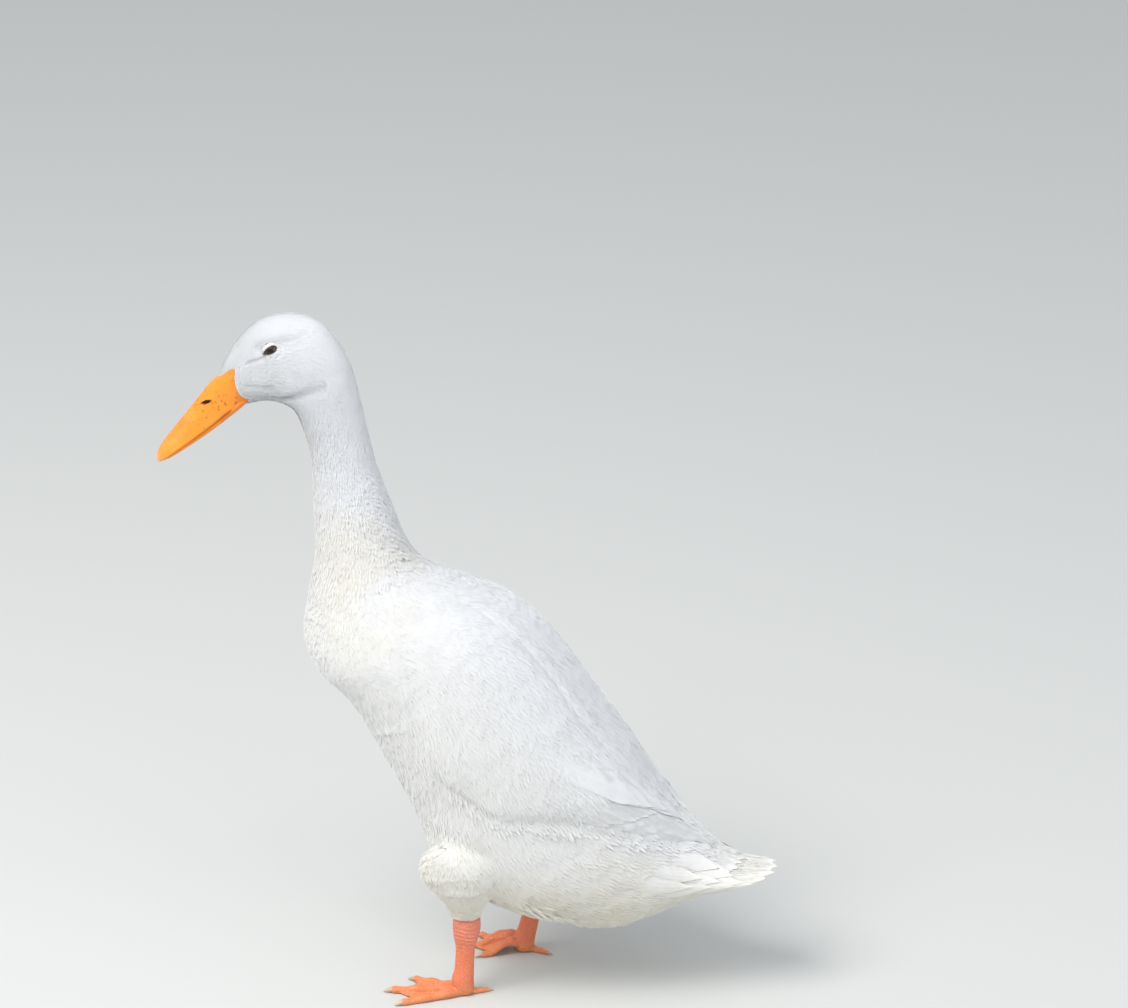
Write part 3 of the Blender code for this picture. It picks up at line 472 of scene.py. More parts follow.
def tube(rings):
    """Return points and triangles of a closed tube through rings of equal length."""
    rows, columns = rings.shape[:2]
    points = np.concatenate([rings.reshape(-1, 3), rings[0].mean(0)[None],
                             rings[-1].mean(0)[None]])
    faces = [grid_faces(rows, columns, True)]
    step = np.arange(columns)
    beside = (step + 1) % columns
    start = rows * columns
    last = (rows - 1) * columns
    faces.append(np.stack([np.full(columns, start), beside, step], -1))
    faces.append(np.stack([np.full(columns, start + 1), last + step, last + beside], -1))
    return points, np.concatenate(faces)


def join(shapes):
    """Join several sets of points and triangles into one."""
    points = []
    faces = []
    count = 0
    for shape_points, shape_faces in shapes:
        points.append(shape_points)
        faces.append(shape_faces + count)
        count += len(shape_points)
    return np.concatenate(points), np.concatenate(faces)


def make_mesh(name, points, faces):
    """Make a smooth mesh object from arrays of points and triangles."""
    mesh = bpy.data.meshes.new(name)
    mesh.vertices.add(len(points))
    mesh.vertices.foreach_set("co", points.astype(np.float32).ravel())
    mesh.loops.add(faces.size)
    mesh.loops.foreach_set("vertex_index", faces.astype(np.int32).ravel())
    mesh.polygons.add(len(faces))
    mesh.polygons.foreach_set("loop_start", np.arange(0, faces.size, 3, dtype=np.int32))
    mesh.update(calc_edges=True)
    mesh.shade_smooth()
    obj = bpy.data.objects.new(name, mesh)
    bpy.context.scene.collection.objects.link(obj)
    return obj


def add_value(obj, name, values):
    """Store one number for each point of a mesh, for its material to read."""
    layer = obj.data.attributes.new(name, "FLOAT", "POINT")
    layer.data.foreach_set("value", values.astype(np.float32).ravel())


def add_map(obj, name, places):
    """Store a UV map given for each point of a mesh."""
    corners = np.empty(len(obj.data.loops), dtype=np.int32)
    obj.data.loops.foreach_get("vertex_index", corners)
    layer = obj.data.uv_layers.new(name=name)
    layer.data.foreach_set("uv", places[corners].astype(np.float32).ravel())


def add_ring_values(obj, **layers):
    """Store numbers given for the rings of a tube, and with them for its two end points."""
    for name, values in layers.items():
        add_value(obj, name, np.concatenate([values.ravel(), values[0, :1], values[-1, :1]]))


def make_solid(name, *shapes):
    """Make one mesh object of closed shapes and turn all its faces outwards."""
    obj = make_mesh(name, *join(shapes))
    work = bmesh.new()
    work.from_mesh(obj.data)
    bmesh.ops.recalc_face_normals(work, faces=work.faces[:])
    work.to_mesh(obj.data)
    work.free()
    return obj


def read_mesh(mesh):
    """Return the points, their normals and the triangles of a mesh."""
    mesh.calc_loop_triangles()
    found = []
    for items, name, kind in ((mesh.vertices, "co", float), (mesh.vertices, "normal", float),
                              (mesh.loop_triangles, "vertices", np.int32)):
        values = np.empty(len(items) * 3, dtype=kind)
        items.foreach_get(name, values)
        found.append(values.reshape(-1, 3))
    return found


def remesh(obj, voxel, smooth_steps):
    """Fuse the closed shapes of an object into one skin, then relax it."""
    shrink = obj.modifiers.new("fuse", "REMESH")
    shrink.mode = "VOXEL"
    shrink.voxel_size = voxel
    relax = obj.modifiers.new("relax", "SMOOTH")
    relax.factor = 0.5
    relax.iterations = smooth_steps
    graph = bpy.context.evaluated_depsgraph_get()
    mesh = bpy.data.meshes.new_from_object(obj.evaluated_get(graph))
    obj.modifiers.clear()
    obj.data = mesh
    mesh.shade_smooth()


class Wire:
    """One output socket of a material; arithmetic on it adds Math nodes."""

    def __init__(self, finish, socket):
        self.finish = finish
        self.socket = socket

    def _combine(self, operation, first, second=0.0):
        return self.finish.node("ShaderNodeMath", {"operation": operation},
                                {0: first, 1: second})

    def __add__(self, other):
        return self._combine("ADD", self, other)

    __radd__ = __add__

    def __sub__(self, other):
        return self._combine("SUBTRACT", self, other)

    def __rsub__(self, other):
        return self._combine("SUBTRACT", other, self)

    def __mul__(self, other):
        return self._combine("MULTIPLY", self, other)

    __rmul__ = __mul__

    def sine(self):
        """Return the sine of this value."""
        return self._combine("SINE", self)

    def size(self):
        """Return this value without its sign."""
        return self._combine("ABSOLUTE", self)

    def rise(self, low, high):
        """Return 0 below low, 1 above high and a smooth rise between."""
        return self.finish.node("ShaderNodeMapRange", {"interpolation_type": "SMOOTHSTEP"},
                                {"Value": self, "From Min": low, "From Max": high})


class Finish:
    """A material and the few ways in which its nodes are made."""

    def __init__(self, name, roughness, **constants):
        self.material = bpy.data.materials.new(name)
        self.material.use_nodes = True
        self.tree = self.material.node_tree
        self.shader = self.tree.nodes["Principled BSDF"]
        self.shader.inputs["Roughness"].default_value = roughness
        for socket, value in constants.items():
            self.shader.inputs[socket.replace("_", " ")].default_value = value

    def node(self, kind, settings=None, inputs=None, output=0):
        """Add a node: its settings first, then values or wires for its sockets."""
        made = self.tree.nodes.new(kind)
        for key, value in (settings or {}).items():
            setattr(made, key, value)
        for key, value in (inputs or {}).items():
            self.feed(made.inputs[key], value)
        return Wire(self, made.outputs[output])

    def feed(self, socket, value):
        """Give a socket a wire or a value."""
        if isinstance(value, Wire):
            self.tree.links.new(value.socket, socket)
        elif isinstance(value, (tuple, list)) and socket.type == "RGBA" and len(value) == 3:
            socket.default_value = (*value, 1.0)
        else:
            socket.default_value = value

    def mix(self, share, first, second):
        """Mix two colours."""
        return self.node("ShaderNodeMix", {"data_type": "RGBA"},
                         {"Factor": share, 6: first, 7: second}, 2)

    def split(self, vector):
        """Return the three parts of a vector as wires."""
        made = self.node("ShaderNodeSeparateXYZ", None, {0: vector}).socket.node
        return [Wire(self, socket) for socket in made.outputs]

    def place(self):
        """Return the place on the object in metres, whole and as three wires."""
        coordinates = self.node("ShaderNodeTexCoord", output="Object")
        return coordinates, self.split(coordinates)

    def value(self, name):
        """Return a number stored on the mesh."""
        return self.node("ShaderNodeAttribute", {"attribute_name": name}, output="Fac")

    def map(self, name):
        """Return the two wires of a UV map."""
        return self.split(self.node("ShaderNodeUVMap", {"uv_map": name}))[:2]

    def noise(self, coordinates, scale, detail=3.0):
        """Return cloudy noise between 0 and 1."""
        return self.node("ShaderNodeTexNoise", None,
                         {"Vector": coordinates, "Scale": scale, "Detail": detail})

    def cells(self, coordinates, scale, feature="F1"):
        """Return the distance to the nearest of scattered points."""
        return self.node("ShaderNodeTexVoronoi", {"feature": feature},
                         {"Vector": coordinates, "Scale": scale})

    def bump(self, height, strength, distance):
        """Raise the surface by a height wire."""
        self.shade("Normal", self.node("ShaderNodeBump", None, {
            "Height": height, "Strength": strength, "Distance": distance}))

    def shade(self, socket, value):
        """Feed a socket of the shader."""
        self.feed(self.shader.inputs[socket], value)


def plumage_colour(finish, settings):
    """Return the colour of a feather from its place on the duck, with a painted cool tint of sky light
    on the upper parts, and that place.
    """
    coordinates, (_, y, z) = finish.place()
    cloud = finish.noise(coordinates, 22.0)
    fine = finish.noise(coordinates, 90.0)
    # Painted sky light: the higher parts are tinted cool, as if lit by a blue sky
    painted_sky_tint = (z + y * 0.9 - 0.02).rise(0.13, 0.30)
    colour = finish.mix(painted_sky_tint * 0.75, tuple(settings.white), tuple(settings.shade))
    belly = (0.100 - z - y * 0.05 + cloud * 0.06).rise(0.0, 0.07)
    neck = 1.0 - ((y + 0.075) * (y + 0.075) + (z - 0.29) * (z - 0.29)).rise(0.0001, 0.0035)
    stain = belly * 0.65 + neck * 0.32 * cloud.rise(0.35, 0.65)
    colour = finish.mix(stain * (0.55 + 0.7 * fine), colour, tuple(settings.cream))
    colour = finish.mix(fine.rise(0.45, 0.75) * 0.16, colour, TINTS["grey_cloud"])
    return colour, coordinates


def make_plumage(settings):
    """Make the finish of the small feathers."""
    finish = Finish("soft_white_plumage", 0.82, Sheen_Weight=0.5, Specular_IOR_Level=0.25,
                    **FEATHER_SOFTNESS)
    colour = plumage_colour(finish, settings)[0]
    tone = finish.value("tone")
    # Lower tone mixes in painted feather shadow: random per feather, and deeper under the wing's edge,
    # in the head's creases and in the troughs of the waves
    colour = finish.mix(tone, finish.mix(0.22, colour, TINTS["feather_shadow"]), colour)
    finish.shade("Base Color", colour)
    across, along = finish.map("Barbs")
    lines = (along * 70.0 + across.size() * 26.0).sine() * 0.5 + 0.5
    finish.bump(lines, 0.16, 0.0003)
    return finish.material


def make_vane_finish(settings):
    """Make the finish of the large wing and tail feathers, with shaft and barbs."""
    finish = Finish("white_vane", 0.62, Sheen_Weight=0.1, Specular_IOR_Level=0.35,
                    **FEATHER_SOFTNESS)
    colour = plumage_colour(finish, settings)[0]
    across, along = finish.map("Barbs")
    shaft = 1.0 - across.size().rise(0.02, 0.07)
    colour = finish.mix(shaft * 0.5, colour, TINTS["shaft"])
    tone = finish.value("tone")
    colour = finish.mix(tone, finish.mix(0.18, colour, TINTS["vane_shadow"]), colour)
    finish.shade("Base Color", colour)
    lines = (along * 420.0 + across.size() * 60.0).sine() * 0.5 + 0.5
    finish.bump(lines * (1.0 - shaft) + shaft * 1.5, 0.28, 0.0003)
    return finish.material


def make_skin_finish(settings):
    """Make the finish of the skin under the feathers."""
    finish = Finish("downy_skin", 0.9)
    colour, coordinates = plumage_colour(finish, settings)
    finish.shade("Base Color", finish.mix(0.18, colour, TINTS["down"]))
    finish.bump(finish.noise(coordinates, 900.0), 0.3, 0.0006)
    return finish.material


def make_bill_finish(settings):
    """Make the finish of the bill: orange horn with a pale nail, dark flecks and painted shade in the
    nostrils and on the palate.
    """
    finish = Finish("orange_bill", 0.36, Specular_IOR_Level=0.45, Subsurface_Weight=0.12,
                    Subsurface_Scale=0.003)
    coordinates, _ = finish.place()
    along = finish.value("along")
    hollow = finish.value("hollow")
    rim = finish.value("rim")
    cloud = finish.noise(coordinates, 60.0)
    colour = finish.mix(cloud.rise(0.3, 0.7) * 0.45, tuple(settings.bill),
                        TINTS["bill_light"])
    base = 1.0 - along.rise(0.0, 0.55)
    colour = finish.mix(base * 0.5, colour, TINTS["bill_base"])
    colour = finish.mix(along.rise(0.86, 0.99) * 0.8, colour, tuple(settings.nail))
    colour = finish.mix(rim * 0.55, colour, TINTS["bill_rim"])
    patches = finish.noise(coordinates, 38.0, 5.0).rise(0.50, 0.64)
    colour = finish.mix(patches * (1.0 - along * 0.6) * 0.55, colour, TINTS["bill_patch"])
    flecks = 1.0 - finish.cells(coordinates, 330.0).rise(0.16, 0.34)
    where = finish.noise(coordinates, 95.0).rise(0.42, 0.54) * (1.0 - along.rise(0.25, 0.75))
    colour = finish.mix(flecks * where * 0.6, colour, TINTS["bill_fleck"])
    # Painted shade: the nostril pits are darkened almost to black, the palate partly
    colour = finish.mix(hollow, colour, TINTS["painted_nostril_shade"])
    finish.shade("Base Color", colour)
    finish.shade("Roughness", 0.30 + 0.16 * cloud)
    grain = finish.noise(coordinates, 700.0) * 0.5 + finish.noise(coordinates, 170.0)
    finish.bump(grain, 0.30, 0.0006)
    return finish.material


def make_leg_finish(settings):
    """Make the finish of shanks, toes and webs: scaly salmon orange skin."""
    finish = Finish("scaly_leg", 0.45, Specular_IOR_Level=0.4, Subsurface_Weight=0.15,
                    Subsurface_Scale=0.004)
    coordinates, (_, _, z) = finish.place()
    cloud = finish.noise(coordinates, 70.0)
    ankle = z.rise(0.030, 0.046)
    colour = finish.mix(ankle * 0.8, tuple(settings.leg), tuple(settings.ankle))
    web = 1.0 - z.rise(0.002, 0.012)
    colour = finish.mix(web * 0.55, colour, TINTS["web"])
    colour = finish.mix(cloud.rise(0.35, 0.75) * 0.4, colour, TINTS["leg_patch"])
    scales = finish.cells(coordinates, 520.0, "DISTANCE_TO_EDGE").rise(0.0, 0.16)
    colour = finish.mix((1.0 - scales) * 0.35, colour, TINTS["scale_edge"])
    finish.shade("Base Color", colour)
    finish.shade("Roughness", 0.52 - 0.14 * scales)
    finish.bump(scales + finish.noise(coordinates, 1500.0) * 0.25, 0.55, 0.0005)
    return finish.material


def make_claw_finish(settings):
    """Make the finish of the claws."""
    finish = Finish("horn_claw", 0.35)
    coordinates, _ = finish.place()
    cloud = finish.noise(coordinates, 400.0)
    finish.shade("Base Color", finish.mix(cloud, tuple(settings.claw), TINTS["claw_light"]))
    finish.bump(cloud, 0.2, 0.0003)
    return finish.material


def make_eye_finish(settings):
    """Make the finish of the eyeball, with pupil and iris."""
    finish = Finish("dark_eye", 0.06, Coat_Weight=0.3, Coat_Roughness=0.02,
                    Specular_IOR_Level=0.35)
    coordinates, _ = finish.place()
    ring = finish.value("ring")
    fibres = finish.noise(coordinates, 1500.0)
    iris = finish.mix(fibres * 0.6, tuple(settings.iris), TINTS["iris_fibre"])
    colour = finish.mix(ring.rise(0.46, 0.52), TINTS["pupil"], iris)
    colour = finish.mix(ring.rise(0.86, 0.98), colour, TINTS["eye_edge"])
    finish.shade("Base Color", colour)
    return finish.material


def settle(obj, material, nodes=()):
    """Give a piece its material and body, and hide the nodes that it stands for."""
    obj.data.materials.clear()
    obj.data.materials.append(material)
    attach(obj, BODY)
    if nodes:
        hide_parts(*nodes)


# Names of the materials made so far, by the function that makes each
FINISHES = {}


def finish_of(maker, settings):
    """Return a material, made once."""
    key = maker.__name__
    found = bpy.data.materials.get(FINISHES.get(key, ""))
    if found is None:
        found = maker(settings)
        FINISHES[key] = found.name
    return found


def feather_pattern(rows, columns, teeth):
    """Return the points and triangles of one feather, a thin closed leaf.

    Each point has its place across (-1 to 1 of the half width), its place along
    (0 to 1) and its layer: 0 on top, 1 under.
    """
    across = np.linspace(-1.0, 1.0, columns)
    points = []
    for along, width in rows:
        for step in across:
            points.append((step * width, along * (1.0 - 0.06 * step * step), 0.0))
    faces = []
    for row in range(len(rows) - 1):
        for column in range(columns - 1):
            first = row * columns + column
            fourth = first + columns
            if column < (columns - 1) // 2:
                faces += [(first, first + 1, fourth + 1), (first, fourth + 1, fourth)]
            else:
                faces += [(first, first + 1, fourth), (first + 1, fourth + 1, fourth)]
    last = (len(rows) - 1) * columns
    width = rows[-1][1]
    tips = len(points)
    for column in range(columns - 1):
        if teeth:
            middle = (across[column] + across[column + 1]) / 2
            reach = 1.0 - 0.20 * middle * middle + 0.05 * (-1) ** column
            points.append((middle * width * 0.96, reach, 0.0))
            faces.append((last + column, last + column + 1, tips + column))
        else:
            faces.append((last + column, last + column + 1, tips))
    if not teeth:
        points.append((0.0, 1.0, 0.0))
    under = {}
    for row in range(1, len(rows)):
        for column in range(1, columns - 1):
            index = row * columns + column
            under[index] = len(points)
            points.append((points[index][0], points[index][1], 1.0))
    closed = faces + [tuple(under.get(index, index) for index in face[::-1]) for face in faces]
    if teeth:
        for column in range(1, columns - 1):
            notch = last + column
            closed.append((notch, under[notch], tips + column - 1))
            closed.append((notch, tips + column, under[notch]))
    return np.array(points), np.array(closed)


# Size of a feather's patch on the unwrapped skin
PATCH = 0.003
# Feathers: share of the length and of the half width at each row, points across, toothed tip
FACE_FEATHER = feather_pattern([(0.0, 0.55), (0.5, 1.0)], 3, False)
NECK_FEATHER = feather_pattern([(0.0, 0.5), (0.35, 0.95), (0.70, 0.95)], 3, True)
BODY_FEATHER = feather_pattern([(0.0, 0.4), (0.38, 0.92), (0.74, 1.0)], 5, True)
LARGE_VANE = feather_pattern([(0.0, 0.45), (0.12, 0.70), (0.26, 0.88), (0.40, 0.97), (0.54, 1.0),
                              (0.68, 1.0), (0.80, 0.99), (0.885, 0.92), (0.94, 0.78),
                              (0.975, 0.56), (0.992, 0.30)], 9, False)
PLUME = feather_pattern([(0.0, 0.45), (0.18, 0.85), (0.36, 1.0), (0.54, 0.98), (0.70, 0.85),
                         (0.84, 0.62)], 7, True)
TAIL_VANE = feather_pattern([(0.0, 0.50), (0.15, 0.80), (0.30, 0.95), (0.46, 1.0), (0.60, 0.95),
                             (0.71, 0.84), (0.81, 0.68), (0.89, 0.48), (0.95, 0.28)], 9, False)


def lay_feathers(name, surface, pattern, root, tip, width, lift, camber, thick, tone,
                 home=None, tree=None):
    """Lay many feathers over a surface, each along its own line, as one mesh.

    root and tip are (place, angle) arrays, lift is (root, tip) above the surface, home
    is where the roots lie on the unwrapped skin, and a tree lifts them off the skin.
    """
    shape, shape_faces = pattern
    across = shape[None, :, 0]
    along = shape[None, :, 1]
    layer = shape[None, :, 2]
    count = len(root[0])
    place = root[0][:, None] + (tip[0] - root[0])[:, None] * along
    angle = root[1][:, None] + (tip[1] - root[1])[:, None] * along
    height = (lift[0][:, None] + (lift[1] - lift[0])[:, None] * along ** 1.15
              + (camber * width)[:, None] * (1.0 - across ** 2) * np.minimum(along * 3.0, 1.0)
              - layer * thick)
    middle = surface(place, angle, height)
    beside = surface(place, angle + 1.0, height)
    per_degree = np.linalg.norm(beside - middle, axis=-1) / MM
    points = surface(place, angle + across * width[:, None] / 2.0 / np.maximum(per_degree, LEAST_RATE),
                     height)
    size = len(shape)
    points = points.reshape(-1, 3)
    if tree is not None:
        above, outward = over_skin(points, tree)
        short = np.maximum(height.ravel() - above, 0.0)
        points = points + outward * short[:, None] * MM
    faces = (shape_faces[None] + (np.arange(count) * size)[:, None, None]).reshape(-1, 3)
    obj = make_mesh(name, points, faces)
    obj.data.set_sharp_from_angle(angle=math.radians(75.0))
    add_value(obj, "tone", np.repeat(tone, size))
    at_place, at_angle = root if home is None else home
    unwrap = np.stack([(at_angle[:, None] % 360.0) / 360.0 + across * PATCH / 2.0,
                       at_place[:, None] / (TRUNK_END + 1.0) + (along - 0.5) * PATCH], axis=-1)
    add_map(obj, "OFBake", np.clip(unwrap.reshape(-1, 2), 0.0, 1.0))
    barbs = np.stack([np.broadcast_to(across, (count, size)),
                      np.broadcast_to(along, (count, size))], axis=-1)
    add_map(obj, "Barbs", barbs.reshape(-1, 2))
    return obj


def scatter(surface, first, last, spacing, draw):
    """Scatter roots evenly over a surface between two places; spacing is in millimetres."""
    places = []
    angles = []
    ring = np.linspace(-180.0, 180.0, 181)
    level = np.zeros_like(ring)
    place = first
    odd = 0.0
    while place < last:
        here = surface(np.full_like(ring, place), ring, level) / MM
        ahead = surface(np.full_like(ring, place + 0.05), ring, level) / MM
        rate = np.linalg.norm(ahead - here, axis=-1) / 0.05
        arc = np.concatenate([[0.0], np.cumsum(np.linalg.norm(np.diff(here, axis=0), axis=-1))])
        step = spacing(place)
        number = max(int(arc[-1] / step), 3)
        at = (np.arange(number) + odd + draw.uniform(-0.35, 0.35, number)) / number * arc[-1]
        angle = np.interp(at % arc[-1], arc, ring)
        keep = draw.random(number) < np.interp(angle, ring, rate) / rate.max()
        angles.append(angle[keep])
        places.append(place + draw.uniform(-0.35, 0.35, keep.sum()) * step / rate.max())
        place += step / rate.max()
        odd = 0.5 - odd
    return np.concatenate(places), np.concatenate(angles)


def rates(surface, place, angle):
    """Return millimetres for one unit of place and one degree of angle."""
    zero = np.zeros_like(place)
    here = surface(place, angle, zero)
    along = np.linalg.norm(surface(place + 0.02, angle, zero) - here, axis=-1) / MM / 0.02
    round_it = np.linalg.norm(surface(place, angle + 1.0, zero) - here, axis=-1) / MM
    return along, np.maximum(round_it, LEAST_RATE)


def skin_tree():
    """Return the search tree of the skin, on which flank and thigh feathers rest."""
    points, _, corners = read_mesh(bpy.data.objects["duck_skin"].data)
    return BVHTree.FromPolygons(points.tolist(), corners.tolist())


def over_skin(points, tree):
    """Return heights over the coat's own surface, in millimetres, and directions out."""
    heights = np.empty(len(points))
    outward = np.empty((len(points), 3))
    for index, point in enumerate(points.tolist()):
        place, normal, _, _ = tree.find_nearest(point)
        heights[index] = (Vector(point) - place).dot(normal)
        outward[index] = normal
    return heights / MM - SKIN_DEPTH, outward


def eye_centre(side):
    """Return the centre of one eyeball, in millimetres."""
    return EYE_CENTRE * np.array((side, 1.0, 1.0))


def eye_axes(side):
    """Return the directions along and across the opening of an eye, and out of it."""
    tilt = math.radians(EYE_TILT)
    up = np.array((0.0, -math.sin(tilt), math.cos(tilt)))
    out = np.array((float(side), 0.0, 0.0))
    lean = math.radians(EYE_LEAN)
    return (np.array((0.0, -math.cos(tilt), -math.sin(tilt))),
            up * math.cos(lean) - out * math.sin(lean), out * math.cos(lean) + up * math.sin(lean))


def near_eye(points, margin):
    """Say which points lie in the opening of an eye or within a margin of it."""
    found = np.zeros(len(points), dtype=bool)
    for side in (1, -1):
        long_way, short_way, out_way = eye_axes(side)
        away = points / MM - eye_centre(side)
        found |= (((away @ long_way / (EYE_LONG + margin)) ** 2
                   + (away @ short_way / (EYE_SHORT + margin)) ** 2 < 1.0)
                  & (away @ out_way > 0.0))
    return found


def feather_line(angle):
    """Return where the feathers begin behind the bill, at an angle from the forehead."""
    away = from_back(angle)
    return read_table(FEATHER_LINE, away)[..., 0]


def in_vane_zone(place, angle):
    """Say which roots lie under the large feathers of a wing."""
    away = from_back(angle)
    top, low = wing_edges(place)
    return (place > 18.7) & (away > top + 2.0) & (away < low - 3.0) & (place < WING_TIP)


# Zones of the coat: feather, first and last place, length at both ends, width share
# of the length, spacing at both ends, lift of root and tip, sway in degrees
COAT = {
    "coat_face": (FACE_FEATHER, 0.0, 2.7, (2.4, 3.2), 0.50, (0.78, 0.92), (-0.7, 0.10), 10.0),
    "coat_crown": (FACE_FEATHER, 2.7, 5.2, (3.2, 4.6), 0.50, (0.92, 1.08), (-0.75, 0.14), 12.0),
    "coat_throat": (NECK_FEATHER, 5.1, 7.9, (5.0, 7.0), 0.46, (1.3, 1.55), (-0.9, 0.32), 15.0),
    "coat_neck": (NECK_FEATHER, 7.8, 10.8, (7.0, 10.0), 0.46, (1.55, 2.1), (-1.0, 0.6), 14.0),
    "coat_breast": (BODY_FEATHER, 10.7, 13.8, (10.0, 15.0), 0.56, (2.3, 2.9), (-1.1, 0.32), 8.0),
    "coat_back": (BODY_FEATHER, 13.7, 16.6, (15.0, 18.0), 0.56, (2.9, 3.1), (-1.2, 0.35), 7.0),
    "coat_flank": (BODY_FEATHER, 16.5, 19.6, (18.0, 19.0), 0.54, (3.1, 3.1), (-1.2, 0.4), 8.0),
    "coat_belly": (BODY_FEATHER, 19.5, 22.1, (19.0, 18.0), 0.52, (3.1, 2.9), (-1.2, 0.8), 10.0),
    "coat_vent": (BODY_FEATHER, 22.0, 24.8, (17.0, 14.0), 0.50, (2.9, 2.7), (-1.2, 0.7), 9.0),
    "coat_plumes": (PLUME, 17.6, 20.8, (24.0, 22.0), 0.30, (4.6, 4.4), (-0.7, 1.7), 22.0),
}
# Zones whose feathers rest on the skin, and how deep under the coat their roots may lie
RESTING = {"coat_flank": -9.0, "coat_belly": -9.0, "coat_back": -9.0, "coat_plumes": -2.0}
# Zones that end before this place have feathers of the face's size
HEAD_END = 6.0


def coat_roots(name, first, last, spacings, draw):
    """Scatter the roots of one zone; with them comes the skin's tree if they rest on it."""
    def spacing(place):
        return float(np.interp(place, (first, last), spacings))

    place, angle = scatter(body, first, last, spacing, draw)
    points = body(place, angle, np.zeros_like(place))
    keep = (place > feather_line(angle) - 0.02) & ~near_eye(points, 0.35)
    keep &= ~in_vane_zone(place, angle)
    if name == "coat_plumes":
        away = from_back(angle)
        keep &= (away > 126.0) & (away < 162.0) & (place > 18.8)
    tree = None
    if name in RESTING:
        tree = skin_tree()
        keep &= over_skin(points, tree)[0] > RESTING[name]
    return place[keep], angle[keep], points[keep], tree


def coat_heights(place, away, waves, tip_lift, draw):
    """Return the lifts of the tips of small feathers and their tones, which hold painted shade under
    the wing's lower edge, in the head's creases and in the troughs of the waves.
    """
    count = len(place)
    hackle = band(7.2, 8.4, 10.0, 11.2, place) * (1.0 - smooth_step(35.0, 75.0, away))
    fluff = smooth_step(17.6, 19.4, place) * smooth_step(112.0, 136.0, away)
    fluff = fluff * (1.0 - smooth_step(22.6, 24.2, place))
    below = away - wing_edges(place)[1]
    beside_wing = band(15.4, 16.6, 21.8, 22.8, place)
    hem = beside_wing * np.exp(-((below + 5.0) / 5.0) ** 2)
    under_hem = beside_wing * np.exp(-((below - 5.0) / 5.0) ** 2)
    high = tip_lift + draw.uniform(-0.25, 0.35, count) * abs(tip_lift) + hackle * 0.9
    high = high + fluff * draw.uniform(0.1, 1.3, count) + 0.5 * waves * tip_lift
    high = high + 0.9 * hem - 0.5 * under_hem
    # Tone is partly random per feather and partly painted light and shade: it rises with the same
    # waves that lift the feather tips
    tone = 0.86 + 0.08 * waves + draw.uniform(-0.10, 0.10, count)
    # Painted shadow: feathers just under the wing's lower edge are darkened
    tone = tone - 0.30 * under_hem
    # Painted shade: feathers in the creases of the head are darkened by the creases' depth
    return high, np.clip(tone - 0.45 * crease_depth(place, away), 0.0, 1.0)


def make_coat_zone(name, zone, settings, seed):
    """Lay the small feathers of one zone of the body."""
    pattern, first, last, lengths, share, spacings, lifts, sway = zone
    draw = np.random.default_rng(settings.seed * 100 + seed)
    place, angle, points, tree = coat_roots(name, first, last, spacings, draw)
    count = len(place)
    scale = settings.body_length / BODY_LENGTH
    if last < HEAD_END:
        scale = settings.face_length / FACE_LENGTH
    length = np.interp(place, (first, last), lengths) * scale * draw.uniform(0.85, 1.15, count)
    if name == "coat_face":
        length = np.where(near_eye(points, 3.5), length * 0.62, length)
        length = length * np.interp(place - feather_line(angle), (0.0, 0.35), (0.6, 1.0))
    width = length * share * draw.uniform(0.9, 1.1, count)
    along_rate, round_rate = rates(body, place, angle)
    if name == "coat_face":
        over_eye = near_eye(body(place + length / along_rate, angle, 0.0 * place), 0.2)
        length = np.where(over_eye, length * 0.3, length)
    waves = ripple(place * 9.0, angle * 0.16, seed)
    turn = np.radians(draw.normal(0.0, sway * 0.55, count) + sway * waves)
    tip = (place + length * np.cos(turn) / along_rate,
           angle + length * np.sin(turn) / round_rate)
    high, tone = coat_heights(place, from_back(angle), waves, lifts[1], draw)
    obj = lay_feathers(name, body, pattern, (place, angle), tip, width,
                       (np.full(count, lifts[0]), high), camber=0.05, thick=0.10, tone=tone,
                       tree=tree)
    settle(obj, finish_of(make_plumage, settings))


# Tiers of large wing feathers, from the lowest layer up: number, place of the roots,
# place of the tips, fall of the tips, first and last place across, width, lifts
WING_TIERS = {
    "primaries": (8, 18.3, 23.35, -1.3, 0.24, 0.985, 13.0, (-0.6, 0.9)),
    "secondaries": (12, 16.9, 20.6, -0.9, 0.36, 0.97, 15.0, (-0.9, 0.55)),
    "tertials": (6, 16.2, 21.7, -1.8, 0.05, 0.40, 17.0, (-1.0, 1.5)),
}


def along_wing(side):
    """Return the surface on which a wing feather's straight line follows the wing's lie."""
    def surface(place, part, lift):
        top, low = wing_edges(np.clip(place, WING_FRONT, WING_TIP))
        return body(place, side * (top + (low - top) * part / 100.0), lift)
    return surface


def make_wing(side, word, settings):
    """Lay the tiers of large feathers of one folded wing as one piece."""
    draw = np.random.default_rng(settings.seed * 1000 + 11)
    tiers = []
    for count, root_place, tip_place, fall, first, last, width, lifts in WING_TIERS.values():
        share = np.linspace(0.0, 1.0, count)
        part = (first + (last - first) * share) * 100.0
        tiers.append(np.stack([
            root_place + 0.3 * fall * share + draw.uniform(-0.05, 0.05, count), part,
            tip_place + fall * share + draw.uniform(-0.13, 0.13, count),
            part + draw.uniform(-1.6, 1.6, count), width * draw.uniform(0.93, 1.07, count),
            np.full(count, lifts[0]), lifts[1] * draw.uniform(0.85, 1.15, count),
            draw.uniform(0.72, 1.0, count)]))
    table = np.concatenate(tiers, axis=1)
    root = table[0:2]
    top, low = wing_edges(root[0])
    home = (root[0], side * (top + (low - top) * root[1] / 100.0))
    obj = lay_feathers("vanes_wing_" + word, along_wing(side), LARGE_VANE, root, table[2:4],
                       table[4], table[5:7], camber=0.018, thick=0.22, tone=table[7], home=home)
    settle(obj, finish_of(make_vane_finish, settings))


